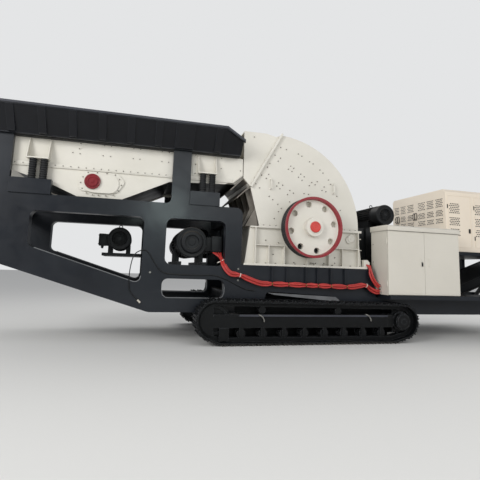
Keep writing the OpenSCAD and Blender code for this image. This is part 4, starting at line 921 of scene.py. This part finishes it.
def addPunchedPanel(bm, s, corner, across, out, width, height):
    # a sheet with staggered rows of slots, a dark sheet behind it as painted shade, and a turned-in rim
    corner, across, out, up = Vector(corner), Vector(across), Vector(out), Vector((0, 0, 1))
    columns, rows = round(width / s["holeCell"]), round(height / s["holeCell"] / 0.8)
    wide, tall = width / columns, height / rows
    front, inside, back = s["sheetDepths"]
    slot = [(across * a + up * b * s["holeFlat"]) * s["holeR"] for a, b in circle(8, math.pi * 9 / 8)]

    def sheet(left, low, right, top, depth=front):
        return [bm.verts.new(corner + out * depth + across * a + up * u) for a, u in
                ((left, low), (right, low), (right, top), (left, top))]

    for j in range(rows):
        odd = j % 2
        for start in (0, width - wide / 2) if odd else ():
            bm.faces.new(sheet(start, tall * j, start + wide / 2, tall * (j + 1)))
        for i in range(columns - odd):
            start = wide * (i + 0.5 * odd)
            square = sheet(start, tall * j, start + wide, tall * (j + 1))
            middle = corner + across * (start + wide / 2) + up * (tall * (j + 0.5))
            ring, inner = ([bm.verts.new(middle + out * depth + v) for v in slot]
                           for depth in (front, inside))
            for k in range(4):
                a, b = square[k], square[(k + 1) % 4]
                first, second, third = ring[2 * k], ring[2 * k + 1], ring[(2 * k + 2) % 8]
                for corners in ((a, first, second), (a, second, b), (b, second, third)):
                    bm.faces.new(corners)
            addWall(bm, inner, ring)
    # the dark sheet: painted shade behind the slots
    bm.faces.new(sheet(0, 0, width, height, back)).material_index = 1
    addWall(bm, sheet(0, 0, width, height, 0), sheet(0, 0, width, height))


def makeGeneratorTrim(s):
    vents, trim = newMeshes(2)
    x, face = s["endX"], s["sideY"]
    for y0, y1 in s["endColumns"]:
        for z0, z1 in s["endRows"]:
            addPunchedPanel(vents, s, (x, y1, z0), (0, -1, 0), (-1, 0, 0), y1 - y0, z1 - z0)
    for side in sides:
        for x0, x1 in s["sideColumns"]:
            for z0, z1 in s["sideRows"]:
                corner = (x0 if side < 0 else x1, side * face, z0)
                addPunchedPanel(vents, s, corner, (-side, 0, 0), (0, side, 0), x1 - x0, z1 - z0)
    makePiece("generator_vents", vents, ["creamPowderCoat", "ventShadeSheet"])
    for y, z in s["latches"]:
        for offset, half in s["latchLoops"]:
            loop = [(x - 0.008, y + offset + half * a, z + s["loopHalf"] * b) for a, b in s["loop"]]
            addTube(trim, loop, s["loopR"], 8, 1, capped=False)
        for name, soft in (("latchPlate", 0.003), ("latchBar", 0.004)):
            addBlock(trim, *(Vector((x, y, z)) + Vector(corner) for corner in s[name]), soft)
    z0, z1 = s["doorZ"]
    bar = s["doorBar"]
    for side in sides:
        for x0 in s["doors"]:
            x1 = x0 + s["doorWidth"]
            for left, low, right, top in ((x0, z0, x1, z0 + bar), (x0, z1 - bar, x1, z1),
                                          (x0, z0 + bar, x0 + bar, z1 - bar),
                                          (x1 - bar, z0 + bar, x1, z1 - bar)):
                addSideBlock(trim, side, (left, face - 0.001, low), (right, face + 0.007, top), 0.002)
            for z in s["hingeZ"]:
                addTurned(trim, (x0, side * (face + 0.006), z), (0, 0, 1), s["hinge"], 14, 1)
            near, far, low, high, depth = s["catch"]
            addSideBlock(trim, side, (x1 - near, face, low), (x1 - far, face + depth, high), 0.005, 1)
    makePiece("generator_trim", trim, ["creamPowderCoat", "blackEnamel"])


makeGeneratorTrim(generatorSettings)
print("cabinet and generator trim made")

# Motors: fan cowl with its grille, end shields with bolts, lifting eye, terminal and cable boxes
motorSettings = {   # box: side of the terminal box; nose: radius of the inlet ring
    "left_motor_trim": dict(centre=(-3.11, 1.85), endY=-0.90, radius=0.30, length=1.18, box=1, nose=0.205,
                            leadBox=((-2.70, -0.80, 1.685), (-2.495, -0.52, 1.994)),
                            neck=((-2.90, -0.76, 1.70), (-2.69, -0.58, 1.97))),
    "right_motor_trim": dict(centre=(1.49, 2.74), endY=-0.42, radius=0.245, length=1.18, box=0),
    "feeder_motor_trim": dict(centre=(-4.49, 1.91), endY=0.06, radius=0.24, length=0.70, box=-1),
}
motorShape = {   # profiles with radii in shares of the motor's radius
    "cowl": [(0.985, -0.06), (0.985, 0.004), (0.94, 0.018), (0.88, 0.020), (0.86, 0.010), (0.66, 0.008),
             (0.63, 0.016), (0.60, 0.008)],
    "dome": [(0.18, 0.004), (0.17, 0.016), (0, 0.020)],
    "band": [(0.97, -0.012), (1.0, -0.010), (1.0, 0.010), (0.97, 0.012)],
    "nose": [(0.68, 0.066), (0.64, 0.058), (0.62, 0.030), (0.34, 0.026), (0.30, 0.036), (0.10, 0.038),
             (0, 0.038)],
    "noseLip": [(0.022, 0.0), (0.012, 0.030), (0.0, 0.058), (-0.012, 0.066)],   # beyond its radius, metres
    "rings": (0.26, 0.36, 0.46, 0.56),
    "ring": [(-0.004, 0), (-0.002, 0.012), (0.002, 0.012), (0.004, 0)],   # about its radius, metres
    "spokes": (0.16, 0.62),
    "shields": (0.23, 0.87),   # shares of the length
    "gland": [(0.028, -0.01), (0.028, 0.02), (0.022, 0.024), (0.022, 0.05), (0.018, 0.055), (0, 0.055)],
}


def makeMotorTrim(name, s):
    bm = bmesh.new()
    (x, z), y, r, length = s["centre"], s["endY"], s["radius"], s["length"]
    out = Vector((0, -1, 0))

    def shares(key, size):
        return [(size * a, b) for a, b in motorShape[key]]

    addTurned(bm, (x, y, z), out, shares("cowl", r), 48)
    for ring in motorShape["rings"]:
        addTurned(bm, (x, y + 0.002, z), out, [(r * ring + a, b) for a, b in motorShape["ring"]], 40)
    for c, d in circle(16):
        addTube(bm, [(x + r * a * c, y - 0.010, z + r * a * d) for a in motorShape["spokes"]], 0.004, 6)
    addTurned(bm, (x, y, z), out, shares("dome", r), 24)
    if "leadBox" in s:
        # cable box in front of the terminal box, on a short neck
        (x0, y0, z0), (x1, y1, z1) = s["leadBox"]
        addBlock(bm, (x0, y0, z0), (x1, y1, z1), 0.010)
        addBlock(bm, (x0 + 0.02, y0 - 0.006, z0 + 0.02), (x1 - 0.02, y0 + 0.002, z1 - 0.02))
        addBlock(bm, *s["neck"], 0.008)
        corners = [(xx, zz) for xx in (x0 + 0.035, x1 - 0.035) for zz in (z0 + 0.035, z1 - 0.035)]
        addBolts(bm, -1, 0.005 - y0, corners, 0.014, 0, 0)
    if "nose" in s:
        # deep inlet ring in front of the cowl
        n = s["nose"]
        lip = [(n + a, b) for a, b in motorShape["noseLip"]]
        addTurned(bm, (x, y, z), out, lip + shares("nose", n), 48)
    for along in motorShape["shields"]:
        addTurned(bm, (x, y + length * along, z), (0, 1, 0), shares("band", r), 48)
        addBoltRing(bm, (x, y + length * along - 0.012, z), -1, r * 0.93, 8, 22.5, 0.018)
    eye = [(x + 0.035 * a, y + length * 0.5, z + r + 0.03 + 0.035 * b) for a, b in circle(18, closed=True)]
    addTube(bm, eye, 0.009, 10, capped=False)
    if s["box"]:
        # terminal box with a lid and cable glands
        side = s["box"]
        outer = x + side * (r * 1.75 + 0.004)
        x0, x1 = sorted((x + side * r * 1.18, outer))
        y0, y1 = y + length * 0.3 - 0.004, y + length * 0.62 + 0.004
        z0, z1 = z - r * 0.6 - 0.004, z + r * 0.42 + 0.004
        addBlock(bm, (x0, y0, z0), (x1, y1, z1), 0.010)
        lid = sorted((outer, outer + side * 0.006))
        addBlock(bm, (lid[0], y0 + 0.02, z0 + 0.02), (lid[1], y1 - 0.02, z1 - 0.02))
        for yy in (y0 + 0.035, y1 - 0.035):
            for zz in (z0 + 0.035, z1 - 0.035):
                addBolt(bm, (outer + side * 0.005, yy, zz), (side, 0, 0), 0.016)
        for i in range(3):
            place = ((x0 + x1) / 2, y0 + length * (0.05 + 0.07 * i), z0)
            addTurned(bm, place, (0, 0, -1), motorShape["gland"], 12)
    makePiece(name, bm, ["motorEnamel"])


for name, settings in motorSettings.items():
    makeMotorTrim(name, settings)

# Stand of the right motor: closing plate with folded ribs
standSettings = {
    "plate": ((0.65, -0.392, 0.96), (1.87, -0.380, 2.394)),
    "ribs": [0.95, 1.25, 1.56],
    "ribDepth": 0.060,
}


def makeStandPlate(s):
    bm = bmesh.new()
    low, high = s["plate"]
    addBlock(bm, low, high)
    for x in s["ribs"]:
        addBlock(bm, (x, low[1] - s["ribDepth"], low[2]), (x + 0.010, low[1] + 0.002, high[2]))
    makePiece("motor_stand_plate", bm, ["blackEnamel"])


makeStandPlate(standSettings)
print("motors made")

# Crawler tracks: lifting hooks, hub covers, dark plates inside the chains that stand for the undercarriage
# behind and its shade, lighter strips along the beams' tops as painted sheen, guards over the chain
trackSettings = {
    "hooks": [(-1.865, 0.545), (0.350, 0.558)],
    "hookRoute": [(-0.02, 1.407, 0), (0, 1.439, -0.006), (0.045, 1.443, -0.035), (0.078, 1.443, -0.085),
                  (0.085, 1.439, -0.125)],
    "hookR": 0.013,
    "hub": (1.15, 0.425),
    "hubY": 1.480,
    "hubProfile": [(0.138, -0.020), (0.138, 0.0), (0.130, 0.008), (0.070, 0.010), (0.064, 0.004),
                   (0.050, 0.004), (0.046, 0.012), (0, 0.012)],
    "hubBolts": [(1.465, 0.152, 10, 0.018), (1.385, 0.178, 14, 0.016)],   # y, radius, count, across flats
    # dark plates inside the chains stand for the undercarriage behind them and for its shade
    "innerPlates": [((-2.25, 1.058, 0.50), (0.95, 1.066, 0.74)), ((-2.62, 1.058, 0.09), (1.05, 1.066, 0.40)),
                    ((1.04, 1.058, 0.16), (1.24, 1.066, 0.40))],
    # lighter strip along a beam's top: painted sheen
    "beamSheenStrip": ((-2.25, 1.396, 0.510), (0.82, 1.434, 0.546)),
    "mudGuard": [(-1.60, 0.925), (-0.14, 0.865), (-0.05, 0.790), (-0.14, 0.775), (-1.45, 0.885)],   # x, z
    "guardY": 1.035,
    "guardLean": 0.45,
    "guardThick": 0.008,
}


def makeTrackTrim(s):
    hooks, hub, plates, guards, sheenStrips = newMeshes(5)
    top = max(z for x, z in s["mudGuard"])
    hx, hz = s["hub"]
    for side in sides:
        for x, z in s["hooks"]:
            route = [(x + dx, side * y, z + dz) for dx, y, dz in s["hookRoute"]]
            addTube(hooks, smoothLine(route, 5), s["hookR"], 10)
        addTurned(hub, (hx, side * s["hubY"], hz), (0, side, 0), s["hubProfile"], 40)
        for y, radius, count, across in s["hubBolts"]:
            addBoltRing(hub, (hx, side * y, hz), side, radius, count, 0, across)
        # dark plates: the undercarriage behind and painted shade
        for box in s["innerPlates"]:
            addSideBlock(plates, side, *box)
        # the lighter strip is painted sheen on the beam's top
        addSideBlock(sheenStrips, side, *s["beamSheenStrip"])
        # the guard leans out from the frame over the chain
        addPrism(guards, *([(x, side * (s["guardY"] + (top - z) * s["guardLean"] - back), z)
                            for x, z in s["mudGuard"]] for back in (0, s["guardThick"])))
    makePiece("track_inner_plates", plates, ["trackSteel"])
    makePiece("track_beam_sheen_strips", sheenStrips, ["rimAndSheenEnamel"])
    makePiece("track_mud_guards", guards, ["guardGreyAndHighlight"])
    makePiece("track_hooks", hooks, ["zincBolt"])
    makePiece("sprocket_hub_bolts", hub, ["trackSteel"])


makeTrackTrim(trackSettings)
print("track trim made")

# Floor and light
stageSettings = {
    "floor": "#d9d8d4",
    "floorHalf": 60,
    "backdrop": (linear("#e4e5e6"), 1.0),
    "soft": ((0.93, 0.95, 1.0, 1), 0.55),
    "mirrored": ((0.90, 0.94, 1.0, 1), 0.16),
    "lamps": [   # place, aim, size, watts, colour, lights matt surfaces too
        ((-1, -12, 7), (0, 0, 1.8), 7, 235, (1, 1, 1), True),
        ((6, -10, 6), (2, 0, 1.8), 6, 170, (1, 1, 1), True),
        ((-2, 4.5, 9.5), (0, 0, 2.5), 8, 260, (1, 1, 1), True),
        ((-14, -10.5, 7.5), (1.5, 0, 2.2), 6, 1230, (1, 1, 1), True),
        ((12, 3, 6), (3, 0, 2), 5, 220, (1, 1, 1), True),
        # cool lamp, seen only as a sheen in the gloss
        ((-2.9, -11, 3.9), (-3.6, -1, 2.4), 1.4, 80, (0.80, 1.0, 0.97), False),
    ],
}


def makeStage(s):
    h = s["floorHalf"]
    mesh = bpy.data.meshes.new("floor")
    mesh.from_pydata([(-h, -h, 0), (h, -h, 0), (h, h, 0), (-h, h, 0)], [], [(0, 1, 2, 3)])
    paint = startMaterial("floorPaint", {"Color": linear(s["floor"])}, "BsdfDiffuse")[0]   # matt floor paint
    mesh.materials.append(paint)
    floor = bpy.data.objects.new("floor", mesh)
    bpy.context.scene.collection.objects.link(floor)


def makeLight(s):
    # the backdrop is what the camera sees; gloss mirrors a darker room than the one that lights
    world = bpy.data.worlds.new("studio")
    bpy.context.scene.world = world
    world.use_nodes = True
    tree = world.node_tree
    tree.nodes.clear()
    soft, mirrored, backdrop = (
        addNode(tree, "Background", {"Color": s[key][0], "Strength": s[key][1]}).outputs["Background"]
        for key in ("soft", "mirrored", "backdrop"))
    path = addNode(tree, "LightPath")
    inner = addNode(tree, "MixShader", links={0: path.outputs["Is Glossy Ray"], 1: soft, 2: mirrored})
    outer = addNode(tree, "MixShader", links={0: path.outputs["Is Camera Ray"], 1: inner.outputs["Shader"],
                                              2: backdrop})
    addNode(tree, "OutputWorld", links={"Surface": outer.outputs["Shader"]})
    for index, (place, aim, size, watts, colour, wide) in enumerate(s["lamps"]):
        data = bpy.data.lights.new(f"lamp{index}", "AREA")
        data.size = size
        data.energy = watts
        data.color = colour
        lamp = bpy.data.objects.new(f"lamp{index}", data)
        lamp.visible_diffuse = wide
        lamp.location = place
        lamp.rotation_mode = "QUATERNION"
        lamp.rotation_quaternion = (Vector(aim) - Vector(place)).to_track_quat("-Z", "Y")
        bpy.context.scene.collection.objects.link(lamp)


makeStage(stageSettings)
makeLight(stageSettings)
bpy.context.scene.view_settings.view_transform = "Standard"
print("stage and light made")
